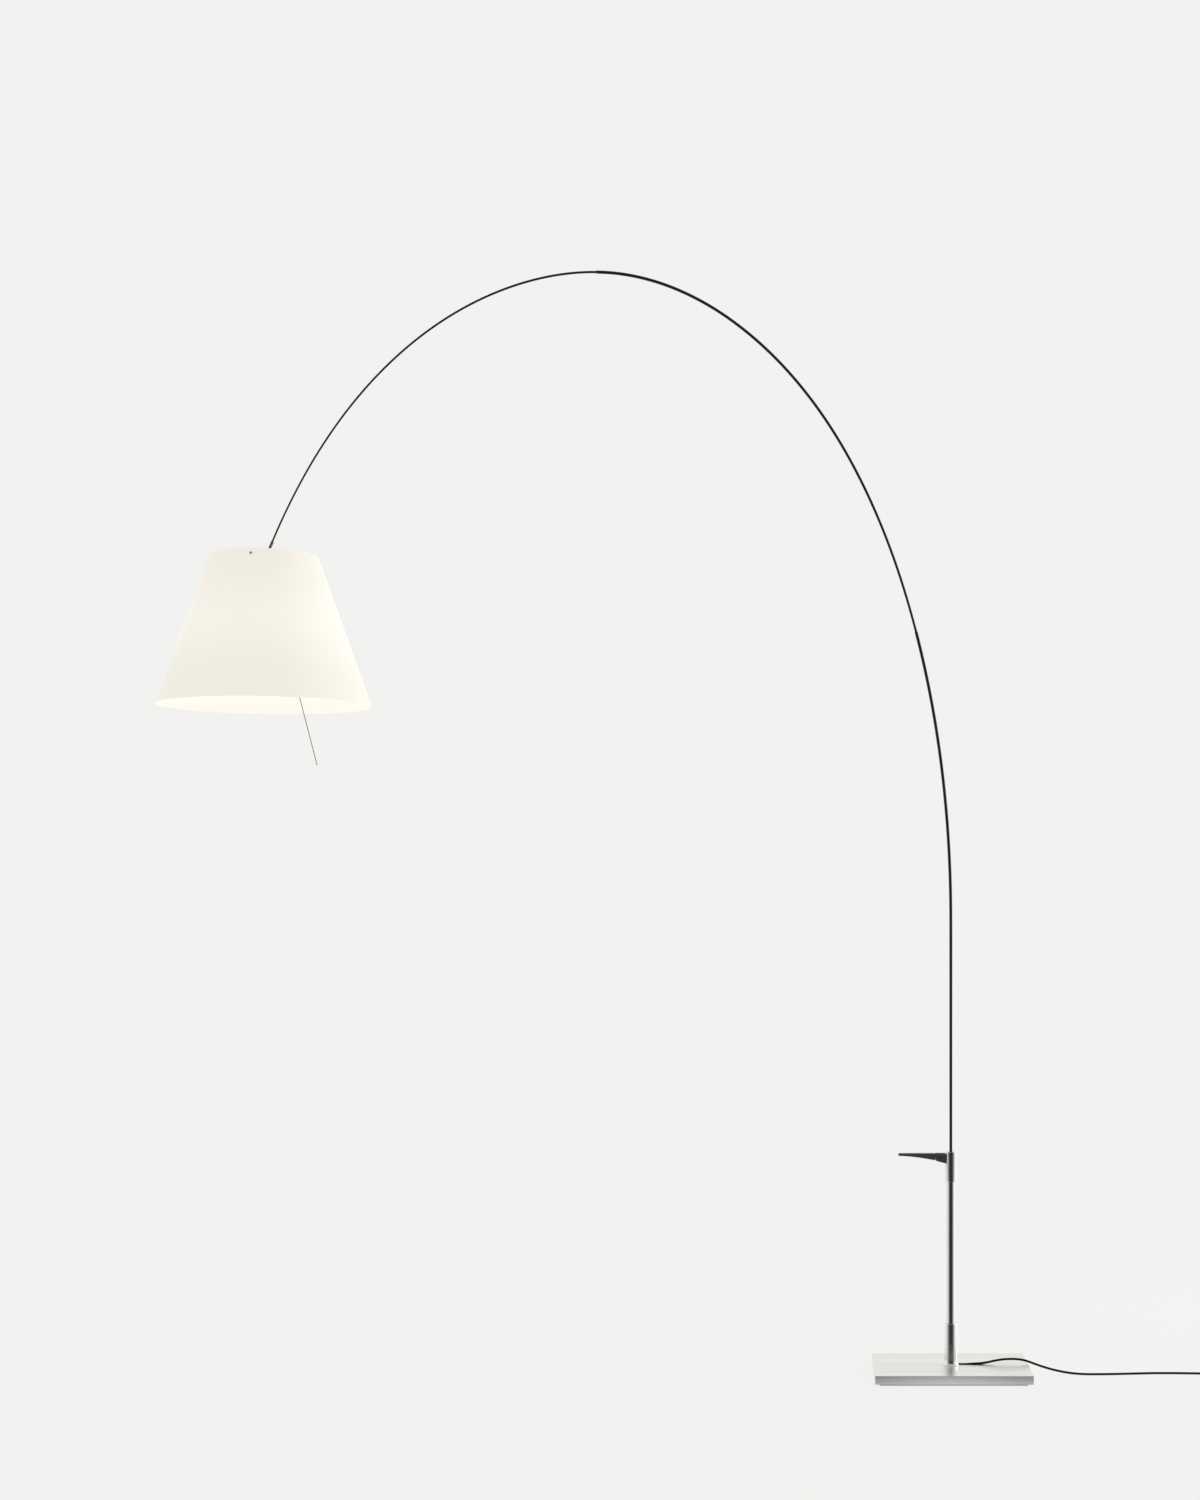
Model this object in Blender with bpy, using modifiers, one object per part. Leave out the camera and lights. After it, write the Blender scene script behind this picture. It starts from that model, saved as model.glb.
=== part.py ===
"""Arc floor lamp: steel foot plate, short pole with a lever clamp, three bent rods and a hung cone shade.

Frame: metres, +Z up. The origin is on the floor on the pole's axis. The rods reach towards -X, and the
front of the lamp is -Y. Every piece is one named object; the joints' axes are marked by empties.
"""
import math

import bmesh
import bpy
import numpy as np
from mathutils import Matrix, Vector

# ---------------------------------------------------------------- driving dimensions, metres and degrees
GAP = 0.0003                  # clearance between neighbouring solids

PAD_THICKNESS = 0.0037
PAD_INSET = 0.012
PLATE_LENGTH = 0.366          # along X
PLATE_DEPTH = 0.272           # along Y
PLATE_THICKNESS = 0.020
PLATE_EDGE = 0.0006
GROOVE_SHARE = 0.4645         # cord groove: share of the plate's half length where it runs out
GROOVE_DEPTH = 0.0062         # at the pole's axis

BOLT_RADIUS = 0.005
BOLT_HEAD_RADIUS = 0.0085
BOLT_HEAD_HEIGHT = 0.0055
WASHER_RADIUS = 0.0125
WASHER_THICKNESS = 0.0017
HEX_KEY_RADIUS = 0.0046

SOCKET_RADIUS = 0.0155
SOCKET_HEIGHT = 0.0972
SOCKET_FOOT_RADIUS = 0.020
SOCKET_FOOT_HEIGHT = 0.012
SOCKET_WEB = 0.0097
CHAMBER_RADIUS = 0.0088
CHAMBER_HEIGHT = 0.008

TUBE_RADIUS = 0.011
TUBE_WALL = 0.0015
TUBE_LENGTH = 0.4627

COLLAR_RADIUS = 0.0148
COLLAR_HEIGHT = 0.071
COLLAR_OVERLAP = 0.049        # how far the collar reaches down over the tube
COLLAR_CHAMFER = 0.0006
GRUB_RADIUS = 0.002
SOCKET_GRUB_BELOW = 0.020     # below the socket's top
COLLAR_GRUB_ABOVE = 0.022     # above the collar's lower end
BUSH_LENGTH = 0.009
BUSH_WALL = 0.0026

PIVOT_OUT = 0.024             # lever pivot, from the pole's axis
PIVOT_DROP = 0.013            # lever pivot, below the collar's top
PIN_RADIUS = 0.003
PIN_HEAD_RADIUS = 0.0085
PIN_HEAD_THICKNESS = 0.0015
PIN_KEY_RADIUS = 0.0026
FORK_HALF_WIDTH = 0.011
FORK_SLOT_HALF = 0.0052
FORK_NOSE_RADIUS = 0.0133
FORK_TOP = 0.009              # top edge of the fork and lever, above the pivot
LEVER_GAP = 0.0012
LEVER_REACH = 0.124           # lever tip, from the pole's axis
LEVER_TIP_THICKNESS = 0.0056
LEVER_FLARE = 0.0102          # how much deeper the lever is at its root
LEVER_FLARE_POWER = 1.7
LEVER_NARROWING = 0.28        # share of its width lost at the tip
CAM_RADIUS = 0.00765
CAM_OFFSET = 0.00135
TONGUE_HALF_HEIGHT = 0.0035
TONGUE_LENGTH = 0.019         # inside the lever
ROLL_PIN_RADIUS = 0.0015
ROLL_PIN_HALF = 0.0085
ROLL_PIN_INSET = 0.008        # from the tongue's end
PLUNGER_RADIUS = 0.003
BRAKE_PAD_LENGTH = 0.0024
SCREW_RADIUS = 0.0015
SCREW_HEAD_RADIUS = 0.0027
SCREW_SIDE = 0.008            # bracket screws, either side of the middle
SCREW_BELOW_TOP = 0.0035
SCREW_SEAT = 0.0075           # under the heads, outwards of the pivot

# The rods follow one bent line from the collar's top: at each length along it, how sharply it bends.
BEND_LENGTHS = (0.50, 0.60, 1.22, 1.60, 2.05, 2.42, 2.60, 3.05, 3.55)
BEND_DEGREES_PER_METRE = (0.0, 18.5, 24.0, 38.0, 69.0, 122.0, 87.5, 57.5, 29.0)
LINE_STEP = 0.040             # between the line's points
FIRST_STATION = 0.48
ROD_BELOW = 0.322             # length of the lower rod below the collar's top
LOWER_JOINT = 1.235           # top of the lower rod, along the line
UPPER_JOINT = 2.453           # top of the middle rod
WIRE_AT = 3.5586              # where the line meets the shade's cross wire
SPIGOT_LENGTH = 0.045         # how far each rod plugs into the one below
LOWER_ROD_RADII = (0.0033, 0.0038)
MIDDLE_ROD_RADII = (0.0029, 0.0038)
UPPER_ROD_RADII = (0.0028, 0.0021)
CABLE_RADIUS = 0.0012
CABLE_BORE_RADIUS = 0.0016

GLIDE_LENGTH = 0.040
RING_RADIUS = 0.0078
FOOT_RING_HEIGHT = 0.008
TOP_RING_HEIGHT = 0.004
SLACK_RADIUS = 0.008          # curled slack of the lead, below the rod
SLACK_BORE_RADIUS = 0.0025
SLACK_HEIGHT = 0.054

FERRULE_RADIUS = 0.0034
FERRULE_LENGTH = 0.045
FERRULE_STOP = 0.006          # ferrule's end, short of the wire
HEAD_RADIUS = 0.014
HEAD_HEIGHT = 0.034
HEAD_BELOW_WIRE = 0.020
SPOKE_RADIUS = 0.0015
SPOKE_ROOT = 0.0083
CAP_RADIUS = 0.003
CAP_LENGTH = 0.004

NIPPLE_RADIUS = 0.005
NIPPLE_BORE_RADIUS = 0.0035
NIPPLE_IN_HEAD = 0.010
NIPPLE_IN_HOLDER = 0.012
CUP_RADIUS = 0.030
CUP_HEIGHT = 0.030
CUP_WALL = 0.002
COVER_THICKNESS = 0.003
BOARD_THICKNESS = 0.0016
BOARD_ABOVE_COVER = 0.012
HOLDER_RADIUS = 0.0195
HOLDER_HEIGHT = 0.060
HOLDER_ROOF = 0.017
HOLDER_WALL = 0.003
THREAD_RADIUS = 0.0150
THREAD_WALL = 0.001
THREAD_HEIGHT = 0.030
BULB_CAP_RADIUS = 0.0130
BULB_CAP_HEIGHT = 0.026
BULB_RADIUS = 0.030
BULB_HEIGHT = 0.081
BULB_WALL = 0.001
SENSOR_RADIUS = 0.001
SENSOR_OUT = 0.024            # sensor rod's upper end, from the shade's axis
SENSOR_ANGLE = 14.5           # from vertical, below its bend
SENSOR_DROP = 0.482           # its tip, below the wire
SENSOR_SOFT = 0.006           # length of the rounding at its bend
SENSOR_BUSH_RADIUS = 0.0026
SENSOR_BUSH_BELOW = 0.004

SHADE_TOP_RADIUS = 0.125
SHADE_BOTTOM_RADIUS = 0.250
SHADE_HEIGHT = 0.353
SHADE_WALL = 0.0012
WIRE_BELOW_RIM = 0.012

GLAND_INNER = 0.0112          # the gland's ends, from the pole's axis
GLAND_OUTER = 0.0295
GLAND_RADII = (0.0031, 0.0028)
SLOT_WIDTH = 0.0072
LEAD_RADIUS = 0.0017
LEAD_SOFT = 0.0015            # the lead's corner, cut off by this much
CORD_RADIUS = 0.0027
CORD_START = (0.0298, 0.0003)  # at the gland: along X from the pole's axis, and above the plate's top
CORD_OVER_PLATE = (           # share of the plate's half length, and height above its top
    (0.2732, 0.0015), (0.3716, 0.0027), (0.4699, 0.0050), (0.5683, 0.0090), (0.6776, 0.0120), (0.8033, 0.0129),
    (0.9180, 0.0110), (1.0055, 0.0066),
)
CORD_ON_FLOOR = (             # past the plate's edge, along Y, and height above the floor
    (0.017, 0.0, 0.0247), (0.039, 0.0, 0.0172), (0.067, -0.001, 0.0098), (0.097, -0.005, 0.0050),
    (0.127, -0.009, 0.0031), (0.162, -0.010, 0.0029), (0.202, -0.008, 0.0029), (0.247, -0.003, 0.0029),
    (0.297, 0.002, 0.0029), (0.347, 0.002, 0.0029), (0.392, -0.0005, 0.0029), (0.422, -0.0022, 0.0029),
    (0.448, -0.0030, 0.0029), (0.473, -0.0032, 0.0029),
)
CORD_STEP = 0.0125            # between the cord solid's points
COIL_PAST_EDGE = 0.497        # the coil's middle, past the plate's edge
COIL_ALONG_Y = 0.0285
COIL_RADIUS = 0.0290          # middle of the turns
COIL_HALF_WIDTH = 0.0056
COIL_HEIGHT = 0.0165
OUTER_TURN = 0.0317           # the coil's outer turns, which the tail leaves
TIE_THICKNESS = 0.0009
TIE_WIDTH = 0.009
TAIL_START = 0.0195           # along Y, from the coil's middle
TAIL_BEND = 0.0216
TAIL_STRAIGHT = 0.003         # its last stretch, into the relief
PLUG_ALONG_Y = 0.083          # the plug lies beside the coil
PLUG_SIZE = (0.034, 0.0353, 0.0137)
PLUG_EDGE = 0.0015
PLUG_PIN_RADIUS = 0.002
PLUG_PIN_LENGTH = 0.019
PLUG_PIN_SPREAD = 0.0093      # each pin, from the plug's middle
RELIEF_LENGTH = 0.022
RELIEF_RADII = (0.0052, 0.0031)

# ---------------------------------------------------------------- levels and places that follow from them
PLATE_BASE = PAD_THICKNESS + GAP
PLATE_TOP = PLATE_BASE + PLATE_THICKNESS
SOCKET_BASE = PLATE_TOP + GAP
WEB_TOP = SOCKET_BASE + SOCKET_WEB
TUBE_SEAT = WEB_TOP + CHAMBER_HEIGHT
SOCKET_TOP = SOCKET_BASE + SOCKET_HEIGHT
TUBE_BASE = TUBE_SEAT + GAP
TUBE_TOP = TUBE_BASE + TUBE_LENGTH
TUBE_BORE = TUBE_RADIUS - TUBE_WALL
COLLAR_BASE = TUBE_TOP - COLLAR_OVERLAP
COLLAR_TOP = COLLAR_BASE + COLLAR_HEIGHT
PIVOT = Vector((-PIVOT_OUT, 0.0, COLLAR_TOP - PIVOT_DROP))
ROD_HOLE = LOWER_ROD_RADII[0] + GAP
PLATE_END = PLATE_LENGTH / 2
GLAND_HEIGHT = PLATE_TOP + CORD_START[1]
COIL_CENTRE = (PLATE_END + COIL_PAST_EDGE, COIL_ALONG_Y)
COIL_BASE = TIE_THICKNESS + 2 * GAP
PLUG_MIDDLE = GAP + PLUG_SIZE[2] / 2
TAIL_X = COIL_CENTRE[0] + OUTER_TURN
TAIL_END_X = TAIL_X - TAIL_BEND - TAIL_STRAIGHT
PLUG_X = TAIL_END_X - GAP - RELIEF_LENGTH - GAP - PLUG_SIZE[0] / 2
ROUND = 2.0 * math.pi


def bent_line():
    """Points (length, x, z) of the rods' line: its heading is the running sum of its bend, from straight up."""
    length = np.arange(0.0, WIRE_AT + 0.001, 0.001)
    bend = np.radians(np.interp(length, BEND_LENGTHS, BEND_DEGREES_PER_METRE))
    heading = math.pi / 2 + np.concatenate([[0.0], np.cumsum((bend[1:] + bend[:-1]) / 2 * 0.001)])
    middle = (heading[1:] + heading[:-1]) / 2
    x = np.concatenate([[0.0], np.cumsum(np.cos(middle) * 0.001)])
    z = COLLAR_TOP + np.concatenate([[0.0], np.cumsum(np.sin(middle) * 0.001)])
    stations = np.append(np.arange(FIRST_STATION, WIRE_AT - 1.5 * LINE_STEP, LINE_STEP), WIRE_AT)
    below = np.array([-1.0])
    return (np.concatenate([below, stations]),
            np.concatenate([[0.0], np.interp(stations, length, x)]),
            np.concatenate([COLLAR_TOP + below, np.interp(stations, length, z)]))


LINE = bent_line()


def line_point(length):
    return Vector((float(np.interp(length, LINE[0], LINE[1])), 0.0, float(np.interp(length, LINE[0], LINE[2]))))


def line_points(start, end):
    """The line's own points between two lengths, with both ends."""
    inside = [s for s in LINE[0] if start + 0.002 < s < end - 0.002]
    return [line_point(s) for s in [start, *inside, end]]


WIRE = line_point(WIRE_AT)
TIP_HEADING = (WIRE - line_point(WIRE_AT - LINE_STEP)).normalized()
HEAD_BASE = WIRE.z - HEAD_BELOW_WIRE
CUP_TOP = HEAD_BASE - GAP
COVER_BASE = CUP_TOP - CUP_HEIGHT - GAP - COVER_THICKNESS
HOLDER_TOP = COVER_BASE - GAP
HOLDER_BASE = HOLDER_TOP - HOLDER_HEIGHT
HOLDER_CEILING = HOLDER_TOP - HOLDER_ROOF
BULB_TOP = HOLDER_CEILING - 0.003
BULB_NECK = BULB_TOP - BULB_CAP_HEIGHT - GAP
SHADE_TOP = WIRE.z + WIRE_BELOW_RIM
SHADE_BASE = SHADE_TOP - SHADE_HEIGHT
SHADE_SLOPE = (SHADE_BOTTOM_RADIUS - SHADE_TOP_RADIUS) / SHADE_HEIGHT
SHADE_AT_WIRE = SHADE_TOP_RADIUS + WIRE_BELOW_RIM * SHADE_SLOPE

FRONTWARD = Matrix.Rotation(math.pi / 2, 4, "X")      # turns +Z to -Y
BACKWARD = Matrix.Rotation(-math.pi / 2, 4, "X")      # turns +Z to +Y
OUTWARD = Matrix.Rotation(-math.pi / 2, 4, "Y")       # turns +Z to -X
RIGHTWARD = Matrix.Rotation(math.pi / 2, 4, "Y")      # turns +Z to +X


# ---------------------------------------------------------------- scene, materials and modelling tools
def empty_scene():
    for obj in list(bpy.data.objects):
        bpy.data.objects.remove(obj, do_unlink=True)
    for name in ("arc_floor_lamp", "cutters"):
        bpy.context.scene.collection.children.link(bpy.data.collections.new(name))


def finish(name, colour, metallic, roughness):
    """A material of one colour for a piece."""
    mat = bpy.data.materials.new(name)
    mat.use_nodes = True
    shader = mat.node_tree.nodes["Principled BSDF"]
    shader.inputs["Base Color"].default_value = (*colour, 1.0)
    shader.inputs["Metallic"].default_value = metallic
    shader.inputs["Roughness"].default_value = roughness
    return mat


FINISHES = {
    "brushed_nickel": ((0.62, 0.62, 0.60), 1.0, 0.34),
    "satin_aluminium": ((0.70, 0.70, 0.70), 1.0, 0.28),
    "graphite": ((0.055, 0.056, 0.058), 0.0, 0.42),
    "dark_rod": ((0.045, 0.045, 0.047), 0.2, 0.30),
    "steel": ((0.55, 0.55, 0.56), 1.0, 0.30),
    "black_rubber": ((0.02, 0.02, 0.02), 0.0, 0.70),
    "black_plastic": ((0.015, 0.015, 0.016), 0.0, 0.45),
    "white_plastic": ((0.85, 0.84, 0.80), 0.0, 0.40),
    "frosted_shade": ((0.93, 0.90, 0.82), 0.0, 0.50),
    "nylon": ((0.75, 0.74, 0.68), 0.0, 0.55),
    "brass": ((0.72, 0.52, 0.22), 1.0, 0.30),
    "frosted_glass": ((0.95, 0.93, 0.88), 0.0, 0.25),
    "board_green": ((0.03, 0.16, 0.07), 0.0, 0.50),
}


def add_piece(name, data, look, place=Matrix.Identity(4)):
    """A named object in the lamp's collection, with its own material."""
    obj = bpy.data.objects.new(name, data)
    bpy.data.collections["arc_floor_lamp"].objects.link(obj)
    obj.matrix_world = place
    obj.data.materials.append(finish(name, *FINISHES[look]))
    return obj


def as_cutter(obj):
    bpy.data.collections["arc_floor_lamp"].objects.unlink(obj)
    bpy.data.collections["cutters"].objects.link(obj)
    obj.hide_render = True
    obj.display_type = "WIRE"
    return obj


def cut(target, *cutters):
    """Takes the cutters out of the target."""
    for cutter in cutters:
        if cutter.name in bpy.data.collections["arc_floor_lamp"].objects:
            as_cutter(cutter)
        boolean = target.modifiers.new("cut", "BOOLEAN")
        boolean.operation = "DIFFERENCE"
        boolean.solver = "EXACT"
        boolean.object = cutter


def turned(name, outline, look, place=Matrix.Identity(4), steps=32):
    """A turned piece. The outline, (radius, height), runs down the outer side; off the axis it is a closed loop."""
    mesh = bpy.data.meshes.new(name)
    edges = [(i, i + 1) for i in range(len(outline) - 1)]
    if outline[0][0] > 0.0:
        edges.append((len(outline) - 1, 0))
    mesh.from_pydata([(r, 0.0, h) for r, h in outline], edges, [])
    obj = add_piece(name, mesh, look, place)
    screw = obj.modifiers.new("turn", "SCREW")
    screw.angle = ROUND
    screw.steps = steps
    screw.render_steps = steps
    screw.use_merge_vertices = True
    screw.merge_threshold = 0.00001
    screw.use_smooth_shade = True
    return obj


def ring(name, outer, inner, base, top, look, place=Matrix.Identity(4), steps=32):
    return turned(name, [(outer, top), (outer, base), (inner, base), (inner, top)], look, place, steps)


def rod(name, radius, base, top, look, place=Matrix.Identity(4), steps=24):
    return turned(name, [(0.0, top), (radius, top), (radius, base), (0.0, base)], look, place, steps)


def rod_cutter(name, radius, base, top, place=Matrix.Identity(4), steps=24):
    return as_cutter(rod(name, radius, base, top, "steel", place, steps))


def box(name, low, high, look, edge=0.0):
    """A box between two corners, with its own small bevel."""
    low, high = Vector(low), Vector(high)
    mesh = bpy.data.meshes.new(name)
    work = bmesh.new()
    bmesh.ops.create_cube(work, size=1.0)
    bmesh.ops.scale(work, vec=high - low, verts=work.verts)
    work.to_mesh(mesh)
    work.free()
    obj = add_piece(name, mesh, look, Matrix.Translation((low + high) / 2))
    if edge > 0.0:
        bevel = obj.modifiers.new("edge", "BEVEL")
        bevel.width = edge
        bevel.segments = 2
    return obj


def box_cutter(name, low, high):
    return as_cutter(box(name, low, high, "steel"))


def as_mesh(curve_object):
    """The curve's welded mesh, as an object of the same name and place."""
    bpy.context.view_layer.update()
    graph = bpy.context.evaluated_depsgraph_get()
    mesh = bpy.data.meshes.new_from_object(curve_object.evaluated_get(graph))
    work = bmesh.new()
    work.from_mesh(mesh)
    bmesh.ops.remove_doubles(work, verts=work.verts, dist=0.000001)
    work.to_mesh(mesh)
    work.free()
    name, place = curve_object.name, curve_object.matrix_world.copy()
    bpy.data.objects.remove(curve_object, do_unlink=True)
    obj = bpy.data.objects.new(name, mesh)
    bpy.data.collections["arc_floor_lamp"].objects.link(obj)
    obj.matrix_world = place
    return obj


def tube(name, points, radius, look, resolution=2, end_radius=None):
    """A round bar along points, with filled ends; its radius may change evenly to end_radius."""
    curve = bpy.data.curves.new(name, "CURVE")
    curve.dimensions = "3D"
    curve.bevel_depth = radius
    curve.bevel_resolution = resolution
    curve.use_fill_caps = True
    spline = curve.splines.new("POLY")
    spline.points.add(len(points) - 1)
    run = np.concatenate([[0.0], np.cumsum([(b - a).length for a, b in zip(points, points[1:])])])
    share = run / run[-1]
    for i, point in enumerate(points):
        spline.points[i].co = (*point, 1.0)
        if end_radius is not None:
            spline.points[i].radius = 1.0 + share[i] * (end_radius / radius - 1.0)
    return add_piece(name, curve, look)


def outline_plate(name, outline, half_width, look):
    """A flat outline in X and Z, as thick as twice half_width along Y, as a mesh."""
    curve = bpy.data.curves.new(name, "CURVE")
    curve.dimensions = "2D"
    curve.fill_mode = "BOTH"
    curve.extrude = half_width
    spline = curve.splines.new("POLY")
    spline.points.add(len(outline) - 1)
    for point, (x, z) in zip(spline.points, outline):
        point.co = (x, z, 0.0, 1.0)
    spline.use_cyclic_u = True
    return as_mesh(add_piece(name, curve, look, FRONTWARD))


def arc_points(centre, radius, start, end, count):
    """Points of an arc in X and Z, angles in degrees from +X towards +Z."""
    angles = [math.radians(start + (end - start) * i / (count - 1)) for i in range(count)]
    return [(centre[0] + radius * math.cos(a), centre[1] + radius * math.sin(a)) for a in angles]


def smooth_route(points, step):
    """Evenly spaced points of a smooth curve (Catmull-Rom) through the route's own points."""
    route = np.array([points[0], *points, points[-1]], dtype=float)
    fine = []
    for a, b, c, d in zip(route, route[1:], route[2:], route[3:]):
        for t in np.linspace(0.0, 1.0, 16, endpoint=False):
            fine.append(0.5 * (2 * b + (c - a) * t + (2 * a - 5 * b + 4 * c - d) * t ** 2
                               + (3 * b - a - 3 * c + d) * t ** 3))
    fine = np.array([*fine, route[-1]])
    run = np.concatenate([[0.0], np.cumsum(np.linalg.norm(np.diff(fine, axis=0), axis=1))])
    at = np.linspace(0.0, run[-1], max(2, round(run[-1] / step) + 1))
    return [Vector([float(np.interp(s, run, fine[:, k])) for k in range(3)]) for s in at]


# ---------------------------------------------------------------- foot: pad, plate, bolt and socket
def make_foot():
    half_x, half_y = PLATE_LENGTH / 2, PLATE_DEPTH / 2
    box("base_pad", (-half_x + PAD_INSET, -half_y + PAD_INSET, 0.0),
        (half_x - PAD_INSET, half_y - PAD_INSET, PAD_THICKNESS), "black_rubber")
    plate = box("base_plate", (-half_x, -half_y, PLATE_BASE), (half_x, half_y, PLATE_TOP),
                "brushed_nickel", PLATE_EDGE)
    recess = 2 * GAP + WASHER_THICKNESS + GAP + BOLT_HEAD_HEIGHT
    cut(plate,
        rod_cutter("bolt_recess", WASHER_RADIUS + GAP, PLATE_BASE - 0.001, PLATE_BASE + recess),
        rod_cutter("bolt_hole", BOLT_RADIUS + GAP, PLATE_BASE, PLATE_TOP + 0.001),
        cord_groove())
    washer_top = PLATE_BASE + recess - GAP
    washer_base = washer_top - WASHER_THICKNESS
    ring("socket_washer", WASHER_RADIUS, BOLT_RADIUS + GAP, washer_base, washer_top, "steel")
    head_top = washer_base - GAP
    head_base = head_top - BOLT_HEAD_HEIGHT
    bolt = turned("socket_bolt", [(0.0, WEB_TOP - 0.0008), (BOLT_RADIUS, WEB_TOP - 0.0008),
                                  (BOLT_RADIUS, head_top), (BOLT_HEAD_RADIUS, head_top),
                                  (BOLT_HEAD_RADIUS, head_base), (0.0, head_base)], "steel", steps=24)
    cut(bolt, rod_cutter("bolt_key", HEX_KEY_RADIUS, head_base - 0.001, head_base + 0.003, steps=6))


def cord_groove():
    """A ramped slot in the plate's top, deepest at the pole and running out towards the plate's edge."""
    groove_end = PLATE_END * GROOVE_SHARE
    outline = [(0.0, PLATE_TOP - GROOVE_DEPTH), (groove_end, PLATE_TOP), (groove_end, PLATE_TOP + 0.002),
               (0.0, PLATE_TOP + 0.002)]
    return outline_plate("cord_groove", outline, SLOT_WIDTH / 2, "steel")


def make_socket():
    bore = TUBE_RADIUS + GAP
    foot = [(SOCKET_RADIUS + (SOCKET_FOOT_RADIUS - SOCKET_RADIUS) * (1.0 - t) ** 2,
             SOCKET_BASE + SOCKET_FOOT_HEIGHT * t) for t in (1.0, 0.8, 0.6, 0.4, 0.2, 0.0)]
    socket = turned("base_socket", [
        (SOCKET_RADIUS - 0.0006, SOCKET_TOP), (SOCKET_RADIUS, SOCKET_TOP - 0.0006), *foot,
        (BOLT_RADIUS + GAP, SOCKET_BASE), (BOLT_RADIUS + GAP, WEB_TOP), (CHAMBER_RADIUS, WEB_TOP),
        (CHAMBER_RADIUS, TUBE_SEAT), (bore, TUBE_SEAT), (bore, SOCKET_TOP)], "satin_aluminium", steps=40)
    slot_low = (BOLT_RADIUS - 0.001, -SLOT_WIDTH / 2, SOCKET_BASE - 0.002)
    slot_high = (SOCKET_FOOT_RADIUS + 0.002, SLOT_WIDTH / 2, TUBE_SEAT - 0.0035)
    grub_place = Matrix.Translation((0.0, 0.0, SOCKET_TOP - SOCKET_GRUB_BELOW)) @ BACKWARD
    cut(socket, box_cutter("cord_slot", slot_low, slot_high),
        rod_cutter("socket_grub_hole", GRUB_RADIUS + GAP, bore - 0.002, SOCKET_RADIUS + 0.002, grub_place))
    rod("socket_grub_screw", GRUB_RADIUS, bore, SOCKET_RADIUS - 0.0006, "steel", grub_place, steps=16)
    cable_inside_foot()


def cable_inside_foot():
    """The gland in the socket's slot, the lead behind it, and the curled slack that lets the rod rise and turn."""
    middle = Matrix.Translation((0.0, 0.0, GLAND_HEIGHT)) @ RIGHTWARD
    turned("cable_gland", [(0.0, GLAND_OUTER), (GLAND_RADII[1], GLAND_OUTER), (GLAND_RADII[0], GLAND_INNER),
                           (0.0, GLAND_INNER)], "black_rubber", middle, steps=20)
    slack_base = TUBE_BASE + 0.004
    corner = BOLT_RADIUS + LEAD_RADIUS + 2 * GAP
    route = [(GLAND_INNER - GAP, GLAND_HEIGHT), (corner + LEAD_SOFT, GLAND_HEIGHT),
             (corner, GLAND_HEIGHT + LEAD_SOFT), (corner, WEB_TOP), (corner * 0.6, WEB_TOP + 4 * LEAD_SOFT),
             (0.0, slack_base - 2 * LEAD_SOFT), (0.0, slack_base - GAP)]
    tube("inner_lead", [Vector((x, 0.0, z)) for x, z in route], LEAD_RADIUS, "black_plastic")
    ring("slack_coil", SLACK_RADIUS, SLACK_BORE_RADIUS, slack_base, slack_base + SLACK_HEIGHT,
         "black_plastic", steps=20)


# ---------------------------------------------------------------- pole and collar
def make_pole():
    ring("lower_tube", TUBE_RADIUS, TUBE_BORE, TUBE_BASE, TUBE_TOP, "satin_aluminium", steps=36)
    bore = TUBE_RADIUS + GAP
    bush_seat = COLLAR_TOP - BUSH_LENGTH
    bush_radius = LOWER_ROD_RADII[0] + GAP + BUSH_WALL
    edge = COLLAR_CHAMFER
    collar = turned("clamp_collar", [
        (COLLAR_RADIUS - edge, COLLAR_TOP), (COLLAR_RADIUS, COLLAR_TOP - edge),
        (COLLAR_RADIUS, COLLAR_BASE + edge), (COLLAR_RADIUS - edge, COLLAR_BASE),
        (bore, COLLAR_BASE), (bore, TUBE_TOP + GAP), (bush_radius, TUBE_TOP + GAP), (bush_radius, bush_seat),
        (bush_radius + GAP, bush_seat), (bush_radius + GAP, COLLAR_TOP)], "satin_aluminium", steps=40)
    ring("collar_bush", bush_radius, ROD_HOLE, bush_seat + GAP, COLLAR_TOP - GAP, "nylon", steps=24)
    grub_place = Matrix.Translation((0.0, 0.0, COLLAR_BASE + COLLAR_GRUB_ABOVE)) @ BACKWARD
    cut(collar,
        rod_cutter("collar_grub_hole", GRUB_RADIUS + GAP, bore - 0.002, COLLAR_RADIUS + 0.002, grub_place),
        rod_cutter("plunger_hole", PLUNGER_RADIUS + GAP, 0.002, COLLAR_RADIUS + 0.004,
                   Matrix.Translation((0.0, 0.0, PIVOT.z)) @ OUTWARD),
        *bracket_screw_cutters(SCREW_RADIUS + GAP, 0.0047, COLLAR_RADIUS + 0.004))
    rod("collar_grub_screw", GRUB_RADIUS, bore, COLLAR_RADIUS - 0.0006, "steel", grub_place, steps=16)


def screw_place(side):
    height = PIVOT.z + FORK_TOP - SCREW_BELOW_TOP
    return Matrix.Translation((0.0, side * SCREW_SIDE, height)) @ OUTWARD


def bracket_screw_cutters(radius, near, far):
    return [rod_cutter("screw_hole", radius, near, far, screw_place(side), steps=16) for side in (-1, 1)]


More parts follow.
